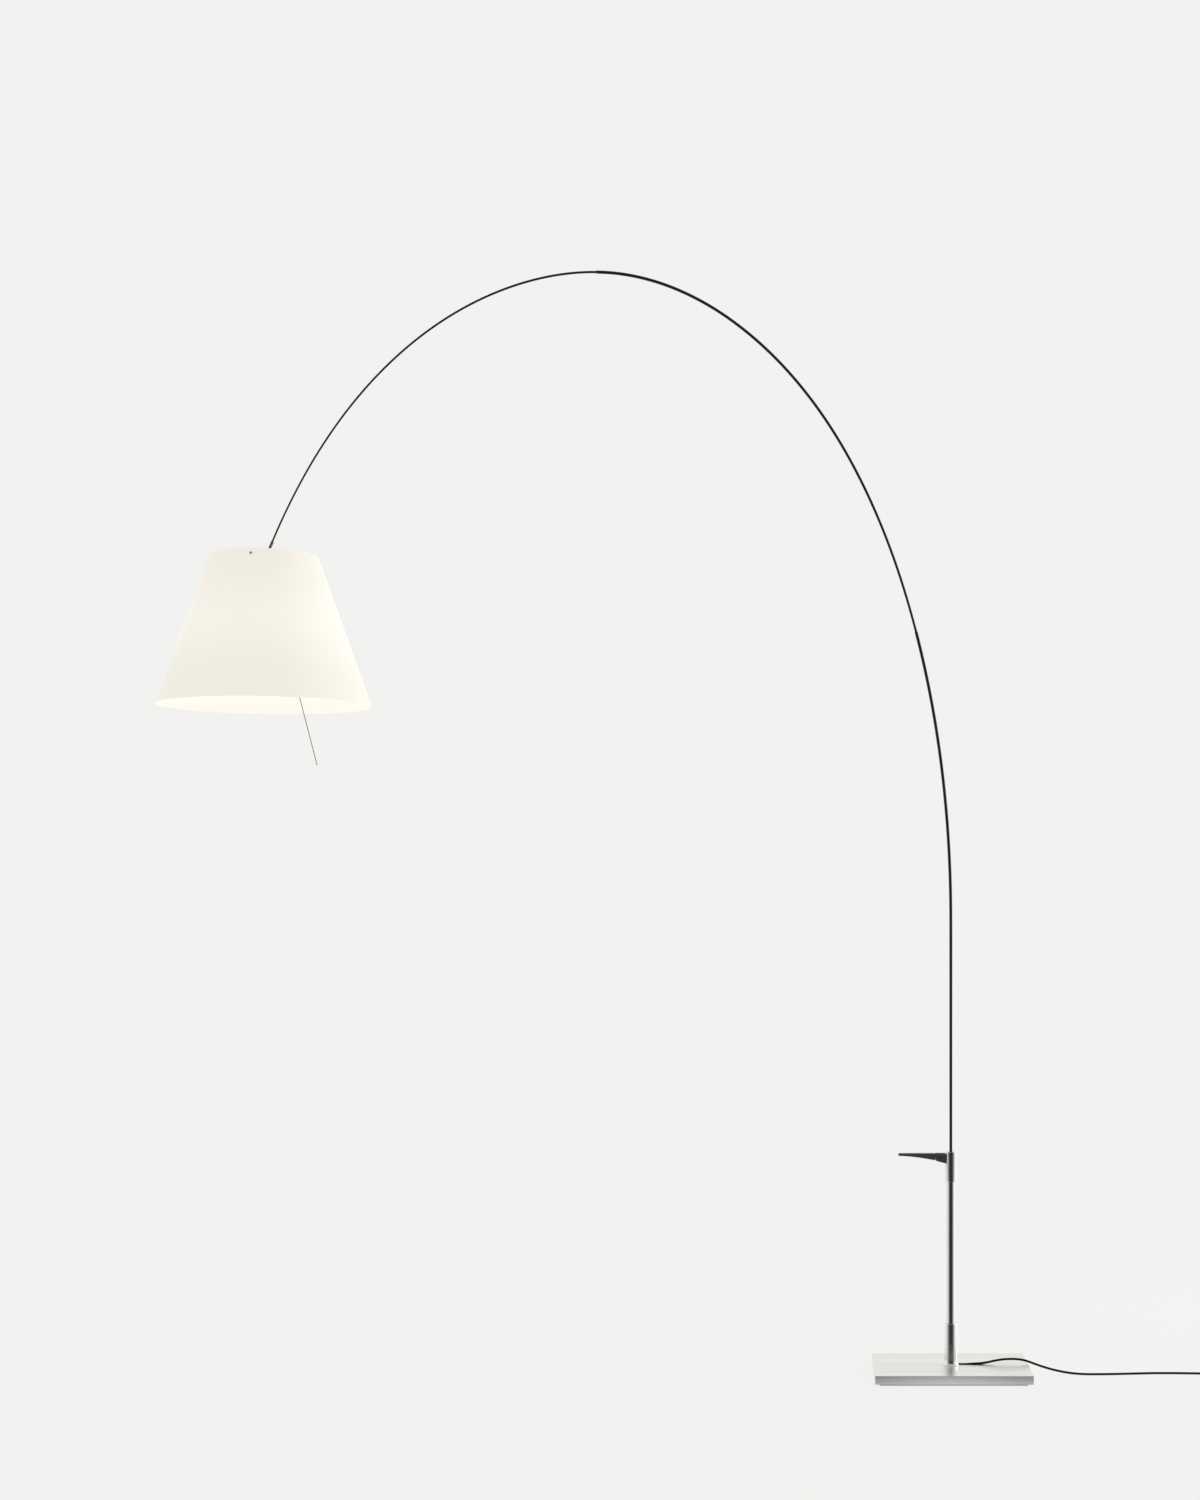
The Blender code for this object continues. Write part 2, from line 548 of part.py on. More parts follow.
# ---------------------------------------------------------------- lever clamp
def make_bracket():
    """The fork that carries the lever: a nose round the pivot, a sloping underside and a saddle on the collar."""
    centre = (PIVOT.x, PIVOT.z)
    top_angle = 180.0 - math.degrees(math.asin(FORK_TOP / FORK_NOSE_RADIUS))
    saddle_x = -math.sqrt((COLLAR_RADIUS + GAP) ** 2 - FORK_HALF_WIDTH ** 2) + 0.002
    outline = [(saddle_x, PIVOT.z + FORK_TOP), *arc_points(centre, FORK_NOSE_RADIUS, top_angle, 219.0, 9),
               (saddle_x, PIVOT.z - 0.0150)]
    bracket = outline_plate("lever_bracket", outline, FORK_HALF_WIDTH, "graphite")
    slot_floor = PIVOT.z - CAM_RADIUS - 0.0028
    head_seat = PIVOT_OUT + SCREW_SEAT
    cut(bracket,
        rod_cutter("saddle", COLLAR_RADIUS + GAP, COLLAR_BASE, COLLAR_TOP + 0.010, steps=40),
        box_cutter("fork_slot", (-PIVOT_OUT - 0.020, -FORK_SLOT_HALF, slot_floor),
                   (0.0, FORK_SLOT_HALF, PIVOT.z + 0.030)),
        rod_cutter("pin_hole", PIN_RADIUS + GAP, -0.020, 0.020, Matrix.Translation(PIVOT) @ FRONTWARD),
        *bracket_screw_cutters(SCREW_RADIUS + GAP, 0.004, PIVOT_OUT + 0.020),
        *bracket_screw_cutters(SCREW_HEAD_RADIUS + GAP, head_seat, PIVOT_OUT + 0.020))
    for side, name in ((-1, "bracket_screw_front"), (1, "bracket_screw_back")):
        turned(name, [(0.0, head_seat + 0.0025), (SCREW_HEAD_RADIUS, head_seat + 0.0025),
                      (SCREW_HEAD_RADIUS, head_seat + GAP), (SCREW_RADIUS, head_seat + GAP),
                      (SCREW_RADIUS, 0.0052), (0.0, 0.0052)], "steel", screw_place(side), steps=16)
    make_lever_pin()


def make_lever_pin():
    place = Matrix.Translation(PIVOT) @ FRONTWARD
    head = FORK_HALF_WIDTH + GAP
    clip = PIN_RADIUS + GAP
    face = head + PIN_HEAD_THICKNESS
    edge = COLLAR_CHAMFER
    pin = turned("lever_pin", [
        (0.0, face), (PIN_HEAD_RADIUS - edge, face), (PIN_HEAD_RADIUS, face - edge), (PIN_HEAD_RADIUS, head),
        (PIN_RADIUS, head), (PIN_RADIUS, -head - 0.0020), (0.0, -head - 0.0020)], "graphite", place, steps=32)
    cut(pin, rod_cutter("pin_key", PIN_KEY_RADIUS, face - 2 * PIN_HEAD_THICKNESS, face + 0.001, place, steps=6))
    ring("lever_pin_clip", PIN_HEAD_RADIUS - 0.0015, clip, -head - 0.0012, -head, "steel", place, steps=24)


def lever_underside(reach):
    """Depth of the lever's underside below its top edge, flaring from the tip to the root."""
    root = PIVOT_OUT + FORK_NOSE_RADIUS + LEVER_GAP
    share = (reach - root) / (LEVER_REACH - root)
    return LEVER_TIP_THICKNESS + LEVER_FLARE * (1.0 - share) ** LEVER_FLARE_POWER


def make_lever():
    root_radius = FORK_NOSE_RADIUS + LEVER_GAP
    centre = (PIVOT.x, PIVOT.z)
    top = PIVOT.z + FORK_TOP
    tip_x = -LEVER_REACH
    start = 180.0 - math.degrees(math.asin(FORK_TOP / root_radius))
    reaches = np.linspace(PIVOT_OUT + root_radius + 0.002, LEVER_REACH - 0.0015, 9)
    outline = [*arc_points(centre, root_radius, start, 207.0, 7),
               *[(-r, top - lever_underside(r)) for r in reaches],
               (tip_x, top - LEVER_TIP_THICKNESS + 0.0015), (tip_x, top - 0.0015), (tip_x + 0.0015, top)]
    handle = outline_plate("lever_handle", outline, FORK_HALF_WIDTH, "graphite")
    for vertex in handle.data.vertices:
        along = (-vertex.co.x - PIVOT_OUT) / (LEVER_REACH - PIVOT_OUT)
        vertex.co.z *= 1.0 - LEVER_NARROWING * along
    tongue_end = PIVOT_OUT + root_radius + TONGUE_LENGTH
    roll_x = -(tongue_end - ROLL_PIN_INSET)
    roll_place = Matrix.Translation((roll_x, 0.0, PIVOT.z)) @ FRONTWARD
    cut(handle,
        box_cutter("tongue_slot", (-tongue_end - GAP, -FORK_SLOT_HALF, PIVOT.z - TONGUE_HALF_HEIGHT - GAP),
                   (PIVOT.x, FORK_SLOT_HALF, PIVOT.z + TONGUE_HALF_HEIGHT + GAP)),
        rod_cutter("roll_pin_hole", ROLL_PIN_RADIUS + GAP, -0.020, 0.020, roll_place, steps=16))
    make_cam(tongue_end, roll_place)
    rod("lever_roll_pin", ROLL_PIN_RADIUS, -ROLL_PIN_HALF, ROLL_PIN_HALF, "steel", roll_place, steps=16)


def make_cam(tongue_end, roll_place):
    """Steel cam eye on the pivot pin, offset towards the pole, with a tongue into the lever."""
    centre = (PIVOT.x + CAM_OFFSET, PIVOT.z)
    edge = math.degrees(math.asin(TONGUE_HALF_HEIGHT / CAM_RADIUS))
    outline = [*arc_points(centre, CAM_RADIUS, 180.0 + edge, 540.0 - edge, 28),
               (-tongue_end, PIVOT.z + TONGUE_HALF_HEIGHT), (-tongue_end, PIVOT.z - TONGUE_HALF_HEIGHT)]
    cam = outline_plate("lever_cam", outline, FORK_SLOT_HALF - GAP, "steel")
    cut(cam,
        rod_cutter("cam_bore", PIN_RADIUS + GAP, -0.020, 0.020, Matrix.Translation(PIVOT) @ FRONTWARD),
        rod_cutter("cam_pin_hole", ROLL_PIN_RADIUS + GAP, -0.020, 0.020, roll_place, steps=16))


def make_brake():
    """Plunger and pad in the collar's side hole, between the cam and the rod."""
    place = Matrix.Translation((0.0, 0.0, PIVOT.z)) @ OUTWARD
    outer = PIVOT_OUT - CAM_RADIUS - CAM_OFFSET - GAP
    pad_end = LOWER_ROD_RADII[0] + GAP
    rod("brake_pad", PLUNGER_RADIUS, pad_end, pad_end + BRAKE_PAD_LENGTH, "brass", place, steps=20)
    rod("brake_plunger", PLUNGER_RADIUS, pad_end + BRAKE_PAD_LENGTH + GAP, outer, "steel", place, steps=20)


# ---------------------------------------------------------------- rods
def make_rod(name, start, end, radii, bores):
    """A tapered hollow rod along the line. Each bore is (radius, start, end) and may run past the rod's ends."""
    piece = as_mesh(tube(name, line_points(start, end), radii[0], "dark_rod", 4, radii[1]))
    for number, (radius, bore_start, bore_end) in enumerate(bores):
        cutter = tube(f"{name}_bore_{number}", line_points(bore_start, bore_end), radius, "steel", 4)
        cut(piece, as_mesh(cutter))


def make_rods():
    past = 0.010
    middle_start = LOWER_JOINT - SPIGOT_LENGTH
    upper_start = UPPER_JOINT - SPIGOT_LENGTH
    tip = WIRE_AT - FERRULE_STOP - 0.004
    make_rod("mast_lower", -ROD_BELOW, LOWER_JOINT, LOWER_ROD_RADII,
             [(CABLE_BORE_RADIUS, -ROD_BELOW - past, LOWER_JOINT - SPIGOT_LENGTH),
              (MIDDLE_ROD_RADII[0] + 2 * GAP, middle_start - 2 * GAP, LOWER_JOINT + past)])
    make_rod("mast_middle", middle_start, UPPER_JOINT, MIDDLE_ROD_RADII,
             [(CABLE_BORE_RADIUS, middle_start - past, UPPER_JOINT - SPIGOT_LENGTH),
              (UPPER_ROD_RADII[0] + GAP, upper_start - 2 * GAP, UPPER_JOINT + past)])
    make_rod("mast_upper", upper_start, tip, UPPER_ROD_RADII,
             [(CABLE_BORE_RADIUS, upper_start - past, tip + 0.003)])
    cable = line_points(-ROD_BELOW, WIRE_AT)
    tube("mast_cable", [*cable, Vector((WIRE.x, 0.0, HEAD_BASE - 0.010))], CABLE_RADIUS, "black_plastic")


def make_glide():
    """A nylon bush that slides in the pole, held between two rings glued on the rod's lower end."""
    foot = COLLAR_TOP - ROD_BELOW
    bush_base = foot + FOOT_RING_HEIGHT + GAP
    ring_base = bush_base + GLIDE_LENGTH + GAP
    ring("mast_foot_ring", RING_RADIUS, ROD_HOLE, foot, foot + FOOT_RING_HEIGHT, "steel", steps=24)
    ring("glide_bush", TUBE_BORE - GAP, ROD_HOLE, bush_base, bush_base + GLIDE_LENGTH, "nylon", steps=28)
    ring("mast_top_ring", RING_RADIUS, ROD_HOLE, ring_base, ring_base + TOP_RING_HEIGHT, "steel", steps=24)


# ---------------------------------------------------------------- head: block, spokes, dimmer and lampholder
def make_head():
    to_wire = Matrix.Translation(WIRE) @ TIP_HEADING.to_track_quat("Z", "Y").to_matrix().to_4x4()
    ferrule_end = -FERRULE_STOP
    bore = UPPER_ROD_RADII[1] + 2 * GAP
    ring("tip_ferrule", FERRULE_RADIUS, bore, ferrule_end - FERRULE_LENGTH, ferrule_end - 0.002,
         "satin_aluminium", to_wire, steps=24)
    head_top = HEAD_BASE + HEAD_HEIGHT
    axis = Matrix.Translation((WIRE.x, 0.0, 0.0))
    head = turned("head_block", [
        (0.0, head_top), (HEAD_RADIUS - 0.001, head_top), (HEAD_RADIUS, head_top - 0.001),
        (HEAD_RADIUS, HEAD_BASE + 0.001), (HEAD_RADIUS - 0.001, HEAD_BASE), (0.0, HEAD_BASE)],
        "satin_aluminium", axis, steps=36)
    cable_hole = CABLE_BORE_RADIUS + 2 * GAP
    cut(head,
        rod_cutter("ferrule_hole", FERRULE_RADIUS + GAP, -0.060, -FERRULE_STOP, to_wire),
        rod_cutter("cable_hole_slant", cable_hole, -0.020, 0.001, to_wire, steps=16),
        rod_cutter("cable_hole", cable_hole, HEAD_BASE + 0.004, WIRE.z + 0.001, axis, steps=16),
        rod_cutter("nipple_hole", NIPPLE_RADIUS + GAP, HEAD_BASE - 0.002, HEAD_BASE + NIPPLE_IN_HEAD, axis),
        rod_cutter("spoke_hole_front", SPOKE_RADIUS + GAP, SPOKE_ROOT - GAP, 0.020,
                   Matrix.Translation(WIRE) @ FRONTWARD, steps=16),
        rod_cutter("spoke_hole_back", SPOKE_RADIUS + GAP, SPOKE_ROOT - GAP, 0.020,
                   Matrix.Translation(WIRE) @ BACKWARD, steps=16))
    make_spokes()


def make_spokes():
    """Two wires from the block through the shade, each with a small cap outside the wall."""
    cap_base = SHADE_AT_WIRE + CAP_RADIUS * SHADE_SLOPE + 2 * GAP
    wire_end = cap_base + CAP_LENGTH - 0.0012
    bore = SPOKE_RADIUS + GAP
    for side, turn in (("front", FRONTWARD), ("back", BACKWARD)):
        place = Matrix.Translation(WIRE) @ turn
        rod(f"shade_spoke_{side}", SPOKE_RADIUS, SPOKE_ROOT, wire_end, "steel", place, steps=12)
        turned(f"spoke_cap_{side}", [
            (0.0, cap_base + CAP_LENGTH), (CAP_RADIUS * 0.7, cap_base + CAP_LENGTH),
            (CAP_RADIUS, cap_base + CAP_LENGTH * 0.6), (CAP_RADIUS, cap_base), (bore, cap_base),
            (bore, wire_end + GAP), (0.0, wire_end + GAP)], "steel", place, steps=20)


def make_dimmer():
    """Dimmer housing under the block, its circuit board and cover, all clamped by the threaded nipple."""
    axis = Matrix.Translation((WIRE.x, 0.0, 0.0))
    hole = NIPPLE_RADIUS + GAP
    cup_base = CUP_TOP - CUP_HEIGHT
    turned("dimmer_cup", [
        (CUP_RADIUS - 0.001, CUP_TOP), (CUP_RADIUS, CUP_TOP - 0.001), (CUP_RADIUS, cup_base),
        (CUP_RADIUS - CUP_WALL, cup_base), (CUP_RADIUS - CUP_WALL, CUP_TOP - CUP_WALL),
        (hole, CUP_TOP - CUP_WALL), (hole, CUP_TOP)], "white_plastic", axis, steps=36)
    board_base = cup_base + BOARD_ABOVE_COVER
    board = ring("dimmer_board", CUP_RADIUS - CUP_WALL - 2 * GAP, hole, board_base, board_base + BOARD_THICKNESS,
                 "board_green", axis, steps=28)
    cover = ring("dimmer_cover", CUP_RADIUS, hole, COVER_BASE, COVER_BASE + COVER_THICKNESS, "white_plastic",
                 axis, steps=36)
    bush_place = Matrix.Translation((WIRE.x + SENSOR_OUT, 0.0, 0.0))
    cut(cover, rod_cutter("bush_hole", SENSOR_BUSH_RADIUS + GAP, COVER_BASE - 0.002, COVER_BASE + 0.006,
                          bush_place, steps=16))
    cut(board, rod_cutter("sensor_hole", SENSOR_RADIUS + 2 * GAP, board_base - 0.002, board_base + 0.006,
                          bush_place, steps=16))
    nipple_top = HEAD_BASE + NIPPLE_IN_HEAD - GAP
    ring("holder_nipple", NIPPLE_RADIUS, NIPPLE_BORE_RADIUS, HOLDER_TOP - NIPPLE_IN_HOLDER, nipple_top,
         "steel", axis, steps=24)
    make_sensor(bush_place, board_base)


def make_sensor(bush_place, board_base):
    """Touch rod of the dimmer: straight down out of the cover, then bent along a line through the wire."""
    ring("sensor_bush", SENSOR_BUSH_RADIUS, SENSOR_RADIUS + GAP, COVER_BASE - SENSOR_BUSH_BELOW,
         COVER_BASE + COVER_THICKNESS, "white_plastic", bush_place, steps=16)
    slope = math.tan(math.radians(SENSOR_ANGLE))
    bend_z = WIRE.z - SENSOR_OUT / slope
    top = Vector((WIRE.x + SENSOR_OUT, 0.0, board_base + 0.004))
    bend = Vector((WIRE.x + SENSOR_OUT, 0.0, bend_z))
    tip = Vector((WIRE.x + SENSOR_DROP * slope, 0.0, WIRE.z - SENSOR_DROP))
    before = bend + Vector((0.0, 0.0, SENSOR_SOFT))
    after = bend + (tip - bend).normalized() * SENSOR_SOFT
    middle = bend * 0.5 + (before + after) * 0.25
    tube("sensor_rod", [top, before, middle, after, tip], SENSOR_RADIUS, "steel")


def make_lampholder():
    axis = Matrix.Translation((WIRE.x, 0.0, 0.0))
    hole = NIPPLE_RADIUS + GAP
    inner = HOLDER_RADIUS - HOLDER_WALL
    turned("lampholder_shell", [
        (HOLDER_RADIUS - 0.003, HOLDER_TOP), (HOLDER_RADIUS, HOLDER_TOP - 0.003), (HOLDER_RADIUS, HOLDER_BASE),
        (inner, HOLDER_BASE), (inner, HOLDER_CEILING), (hole, HOLDER_CEILING), (hole, HOLDER_TOP)],
        "white_plastic", axis, steps=32)
    thread_top = HOLDER_CEILING - GAP
    ring("lampholder_thread", THREAD_RADIUS, THREAD_RADIUS - THREAD_WALL, thread_top - THREAD_HEIGHT, thread_top,
         "brass", axis, steps=28)
    rod("bulb_cap", BULB_CAP_RADIUS, BULB_TOP - BULB_CAP_HEIGHT, BULB_TOP, "steel", axis, steps=28)
    make_bulb_glass(axis)


def make_bulb_glass(axis):
    """Frosted envelope: a neck that opens into a sphere, as a thin shell open at the neck."""
    centre = BULB_NECK - BULB_HEIGHT + BULB_RADIUS
    outer = [(BULB_CAP_RADIUS, BULB_NECK), (BULB_CAP_RADIUS + 0.001, BULB_NECK - 0.010)]
    outer += [(BULB_RADIUS * math.cos(a), centre + BULB_RADIUS * math.sin(a))
              for a in np.radians(np.linspace(38.0, -90.0, 9))[:-1]]
    shell = BULB_RADIUS - BULB_WALL
    inner = [(shell * math.cos(a), centre + shell * math.sin(a))
             for a in np.radians(np.linspace(-90.0, 38.0, 9))[1:]]
    neck = BULB_CAP_RADIUS - BULB_WALL
    turned("bulb_glass", [(0.0, centre - shell), *inner, (neck + 0.001, BULB_NECK - 0.010), (neck, BULB_NECK),
                          *outer, (0.0, centre - BULB_RADIUS)], "frosted_glass", axis, steps=28)


def make_shade():
    """Thin cone open at both ends, hung on the spokes through two small holes."""
    axis = Matrix.Translation((WIRE.x, 0.0, 0.0))
    shade = turned("shade", [
        (SHADE_TOP_RADIUS, SHADE_TOP), (SHADE_BOTTOM_RADIUS, SHADE_BASE),
        (SHADE_BOTTOM_RADIUS - SHADE_WALL, SHADE_BASE), (SHADE_TOP_RADIUS - SHADE_WALL, SHADE_TOP)],
        "frosted_shade", axis, steps=72)
    cut(shade, rod_cutter("spoke_holes", SPOKE_RADIUS + GAP, -SHADE_BOTTOM_RADIUS, SHADE_BOTTOM_RADIUS,
                          Matrix.Translation(WIRE) @ FRONTWARD, steps=12))


# ---------------------------------------------------------------- mains cord and plug
def cord_route():
    """The cord's axis from the gland, in a hump over the plate and along the floor to the coil."""
    over_plate = [(PLATE_END * share, 0.0, PLATE_TOP + height) for share, height in CORD_OVER_PLATE]
    on_floor = [(PLATE_END + past, y, height) for past, y, height in CORD_ON_FLOOR]
    return [(CORD_START[0], 0.0, GLAND_HEIGHT), *over_plate, *on_floor]


def make_cord():
    tube("cord_run", smooth_route(cord_route(), CORD_STEP), CORD_RADIUS, "black_plastic")
    coil_place = Matrix.Translation((*COIL_CENTRE, 0.0))
    ring("cord_coil", COIL_RADIUS + COIL_HALF_WIDTH, COIL_RADIUS - COIL_HALF_WIDTH, COIL_BASE,
         COIL_BASE + COIL_HEIGHT, "black_plastic", coil_place, steps=32)
    make_tie()
    make_tail()
    make_plug()


def make_tie():
    """A strap round the coil's turns, on the side the cord comes from."""
    inner = COIL_HALF_WIDTH + 3 * GAP
    centre = COIL_CENTRE[0] - COIL_RADIUS
    y_low, y_high = COIL_CENTRE[1] - TIE_WIDTH / 2, COIL_CENTRE[1] + TIE_WIDTH / 2
    top = COIL_BASE + COIL_HEIGHT + GAP + TIE_THICKNESS
    tie = box("cord_tie", (centre - inner - TIE_THICKNESS, y_low, GAP / 2),
              (centre + inner + TIE_THICKNESS, y_high, top), "black_rubber")
    cut(tie, box_cutter("tie_hole", (centre - inner, y_low - TIE_WIDTH, COIL_BASE - GAP),
                        (centre + inner, y_high + TIE_WIDTH, top - TIE_THICKNESS)))


def make_tail():
    """The cord's free end: it leaves the coil along +Y and bends back to the plug, rising to its middle."""
    low = COIL_BASE + CORD_RADIUS
    bend_centre = (TAIL_X - TAIL_BEND, PLUG_ALONG_Y - TAIL_BEND)
    flat = [(TAIL_X, COIL_CENTRE[1] + TAIL_START), *arc_points(bend_centre, TAIL_BEND, 0.0, 90.0, 6)]
    rise = np.linspace(low, PLUG_MIDDLE, len(flat))
    route = [Vector((x, y, z)) for (x, y), z in zip(flat, rise)]
    tube("cord_tail", [*route, Vector((TAIL_END_X, PLUG_ALONG_Y, PLUG_MIDDLE))], CORD_RADIUS, "black_plastic")


def make_plug():
    """A flat two-pin plug lying beside the coil, its pins pointing -X and a tapered relief on the cord's side."""
    half_x, half_y = PLUG_SIZE[0] / 2, PLUG_SIZE[1] / 2
    y = PLUG_ALONG_Y
    box("plug_body", (PLUG_X - half_x, y - half_y, GAP), (PLUG_X + half_x, y + half_y, GAP + PLUG_SIZE[2]),
        "black_plastic", PLUG_EDGE)
    tip = PLUG_PIN_RADIUS * 0.6
    for side, name in ((-1, "plug_pin_left"), (1, "plug_pin_right")):
        place = Matrix.Translation((PLUG_X - half_x - GAP, y + side * PLUG_PIN_SPREAD, PLUG_MIDDLE)) @ OUTWARD
        turned(name, [(0.0, PLUG_PIN_LENGTH), (tip, PLUG_PIN_LENGTH), (PLUG_PIN_RADIUS, PLUG_PIN_LENGTH - tip),
                      (PLUG_PIN_RADIUS, 0.0), (0.0, 0.0)], "brass", place, steps=16)
    relief = Matrix.Translation((PLUG_X + half_x + GAP, y, PLUG_MIDDLE)) @ RIGHTWARD
    turned("plug_relief", [(0.0, RELIEF_LENGTH), (RELIEF_RADII[1], RELIEF_LENGTH), (RELIEF_RADII[0], 0.0),
                           (0.0, 0.0)], "black_rubber", relief, steps=20)


# ---------------------------------------------------------------- joints' axes
def on_axis(name, place, pieces):
    """An empty on a joint's axis, parent of the pieces that move with it."""
    empty = bpy.data.objects.new(name, None)
    bpy.data.collections["arc_floor_lamp"].objects.link(empty)
    empty.location = place
    bpy.context.view_layer.update()
    for piece in pieces:
        obj = bpy.data.objects[piece]
        obj.parent = empty
        obj.matrix_parent_inverse = empty.matrix_world.inverted()
    return empty


def join_up():
    on_axis("axis_height", Vector((0.0, 0.0, COLLAR_TOP)), ["glide_bush"])
    on_axis("axis_turn", Vector((0.0, 0.0, COLLAR_TOP)), [
        "mast_lower", "mast_middle", "mast_upper", "mast_cable", "mast_foot_ring", "mast_top_ring", "tip_ferrule",
        "head_block", "shade_spoke_front", "shade_spoke_back", "spoke_cap_front", "spoke_cap_back", "dimmer_cup",
        "dimmer_board", "dimmer_cover", "holder_nipple", "sensor_bush", "sensor_rod", "lampholder_shell",
        "lampholder_thread", "bulb_cap", "bulb_glass"])
    on_axis("axis_lever", PIVOT, ["lever_handle", "lever_cam", "lever_roll_pin"])
    on_axis("axis_brake", Vector((0.0, 0.0, PIVOT.z)), ["brake_plunger", "brake_pad"])
    on_axis("axis_shade", WIRE, ["shade"])


empty_scene()
make_foot()
make_socket()
make_pole()
make_bracket()
make_lever()
make_brake()
make_rods()
make_glide()
make_head()
make_dimmer()
make_lampholder()
make_shade()
make_cord()
join_up()
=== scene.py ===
"""Arc floor lamp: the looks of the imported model, piece by piece, in the order in which the lamp is put together.

Metres, +Z up, the pole on the Z axis, the rods reaching towards -X and the front of the lamp at -Y.
"""
import math

import bmesh
import bpy
import numpy as np
from mathutils import Matrix, Vector


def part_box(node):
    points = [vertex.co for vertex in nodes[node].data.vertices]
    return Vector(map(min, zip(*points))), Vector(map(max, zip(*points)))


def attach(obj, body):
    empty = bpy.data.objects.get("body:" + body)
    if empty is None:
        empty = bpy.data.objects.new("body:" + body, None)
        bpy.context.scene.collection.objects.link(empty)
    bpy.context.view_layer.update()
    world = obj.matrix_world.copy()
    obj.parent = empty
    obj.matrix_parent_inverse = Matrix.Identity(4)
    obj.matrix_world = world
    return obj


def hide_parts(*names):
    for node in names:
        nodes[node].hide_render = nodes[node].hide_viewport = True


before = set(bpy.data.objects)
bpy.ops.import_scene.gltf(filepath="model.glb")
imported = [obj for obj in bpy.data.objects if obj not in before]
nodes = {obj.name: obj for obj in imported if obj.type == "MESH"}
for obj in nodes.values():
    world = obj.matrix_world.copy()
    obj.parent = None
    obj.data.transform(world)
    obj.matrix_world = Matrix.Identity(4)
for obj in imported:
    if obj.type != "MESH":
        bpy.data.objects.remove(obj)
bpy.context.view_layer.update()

# ---- Camera. It stands level, a little over five metres in front of the lamp and left of the pole, and its
# shift puts the lamp in the frame as a view camera's rising front would.
camera_data = bpy.data.cameras.new("camera")
camera_data.sensor_fit = "VERTICAL"
camera_data.sensor_width = 36.0
camera_data.sensor_height = 36.0
camera_data.lens = 54.84
camera_data.shift_x = -0.138
camera_data.shift_y = 0.1047
camera = bpy.data.objects.new("camera", camera_data)
camera.location = (-0.340, -5.401, 1.105)
camera.rotation_euler = (math.pi / 2, 0.0, 0.0)
bpy.context.scene.collection.objects.link(camera)
bpy.context.scene.camera = camera
bpy.context.scene.view_settings.view_transform = "Standard"

# ---- Studio. A pale floor without an end in a room of soft light. Polished metal sees bright walls at the sides
# and behind and a dark wall on the camera's side, which draws the dark line down the pole and the foot's edge.
STUDIO_PALE = (0.887, 0.887, 0.871, 1.0)
AMBIENT = 0.55
WALLS_BY_TURN = ((0.00, 1.00), (0.23, 1.00), (0.30, 0.78), (0.36, 0.38), (0.41, 0.07), (0.585, 0.07),
                 (0.635, 0.45), (0.69, 0.95), (0.75, 1.25), (0.83, 1.30), (1.00, 1.00))
OVERHEAD = 0.80


def join(tree, source, target):
    """Links an output socket to an input socket."""
    tree.links.new(source, target)


def maths(tree, operation, first, second=None):
    """A Math node on two values or sockets; returns its output."""
    node = tree.nodes.new("ShaderNodeMath")
    node.operation = operation
    for socket, value in zip(node.inputs, (first, second)):
        if isinstance(value, bpy.types.NodeSocket):
            join(tree, value, socket)
        elif value is not None:
            socket.default_value = value
    return node.outputs[0]


def ramp_between(tree, value, start, stop, low, high):
    """A smooth step from low to high while the value runs from start to stop."""
    node = tree.nodes.new("ShaderNodeMapRange")
    node.interpolation_type = "SMOOTHSTEP"
    node.inputs["From Min"].default_value = start
    node.inputs["From Max"].default_value = stop
    node.inputs["To Min"].default_value = low
    node.inputs["To Max"].default_value = high
    join(tree, value, node.inputs["Value"])
    return node.outputs[0]


def walls_group():
    """The room's brightness as polished metal sees it, by a direction's turn about +Z from the camera's side."""
    group = bpy.data.node_groups.new("studio_walls", "ShaderNodeTree")
    group.interface.new_socket("Direction", in_out="INPUT", socket_type="NodeSocketVector")
    group.interface.new_socket("Level", in_out="OUTPUT", socket_type="NodeSocketFloat")
    parts = group.nodes.new("ShaderNodeSeparateXYZ")
    join(group, group.nodes.new("NodeGroupInput").outputs[0], parts.inputs[0])
    turn = maths(group, "ARCTAN2", parts.outputs["X"], maths(group, "MULTIPLY", parts.outputs["Y"], -1.0))
    share = maths(group, "ADD", maths(group, "DIVIDE", turn, 2 * math.pi), 0.5)
    walls = group.nodes.new("ShaderNodeFloatCurve")
    curve = walls.mapping.curves[0]
    for at, level in WALLS_BY_TURN[1:-1]:
        curve.points.new(at, level / 2)
    for point, (at, level) in zip((curve.points[0], curve.points[-1]), (WALLS_BY_TURN[0], WALLS_BY_TURN[-1])):
        point.location = (at, level / 2)
    walls.mapping.update()
    join(group, share, walls.inputs["Value"])
    join(group, maths(group, "MULTIPLY", walls.outputs[0], 2.0), group.nodes.new("NodeGroupOutput").inputs[0])
    return group


STUDIO_WALLS = walls_group()


def studio_level(tree, vector, blend):
    """Brightness for a ray: the walls, eased to another level by blend(tree, walls), or the even ambient level."""
    walls = tree.nodes.new("ShaderNodeGroup")
    walls.node_tree = STUDIO_WALLS
    join(tree, vector, walls.inputs[0])
    polished = blend(tree, walls.outputs[0])
    kind = tree.nodes.new("ShaderNodeLightPath")
    glossy = kind.outputs["Is Glossy Ray"]
    difference = maths(tree, "MULTIPLY", maths(tree, "SUBTRACT", polished, AMBIENT), glossy)
    level = maths(tree, "ADD", difference, AMBIENT)
    return level, kind.outputs["Is Camera Ray"]


world = bpy.data.worlds.new("studio_room")
bpy.context.scene.world = world
world.use_nodes = True
room = world.node_tree
room.nodes.clear()
looking = room.nodes.new("ShaderNodeTexCoord").outputs["Generated"]
steep = room.nodes.new("ShaderNodeSeparateXYZ")
join(room, looking, steep.inputs[0])


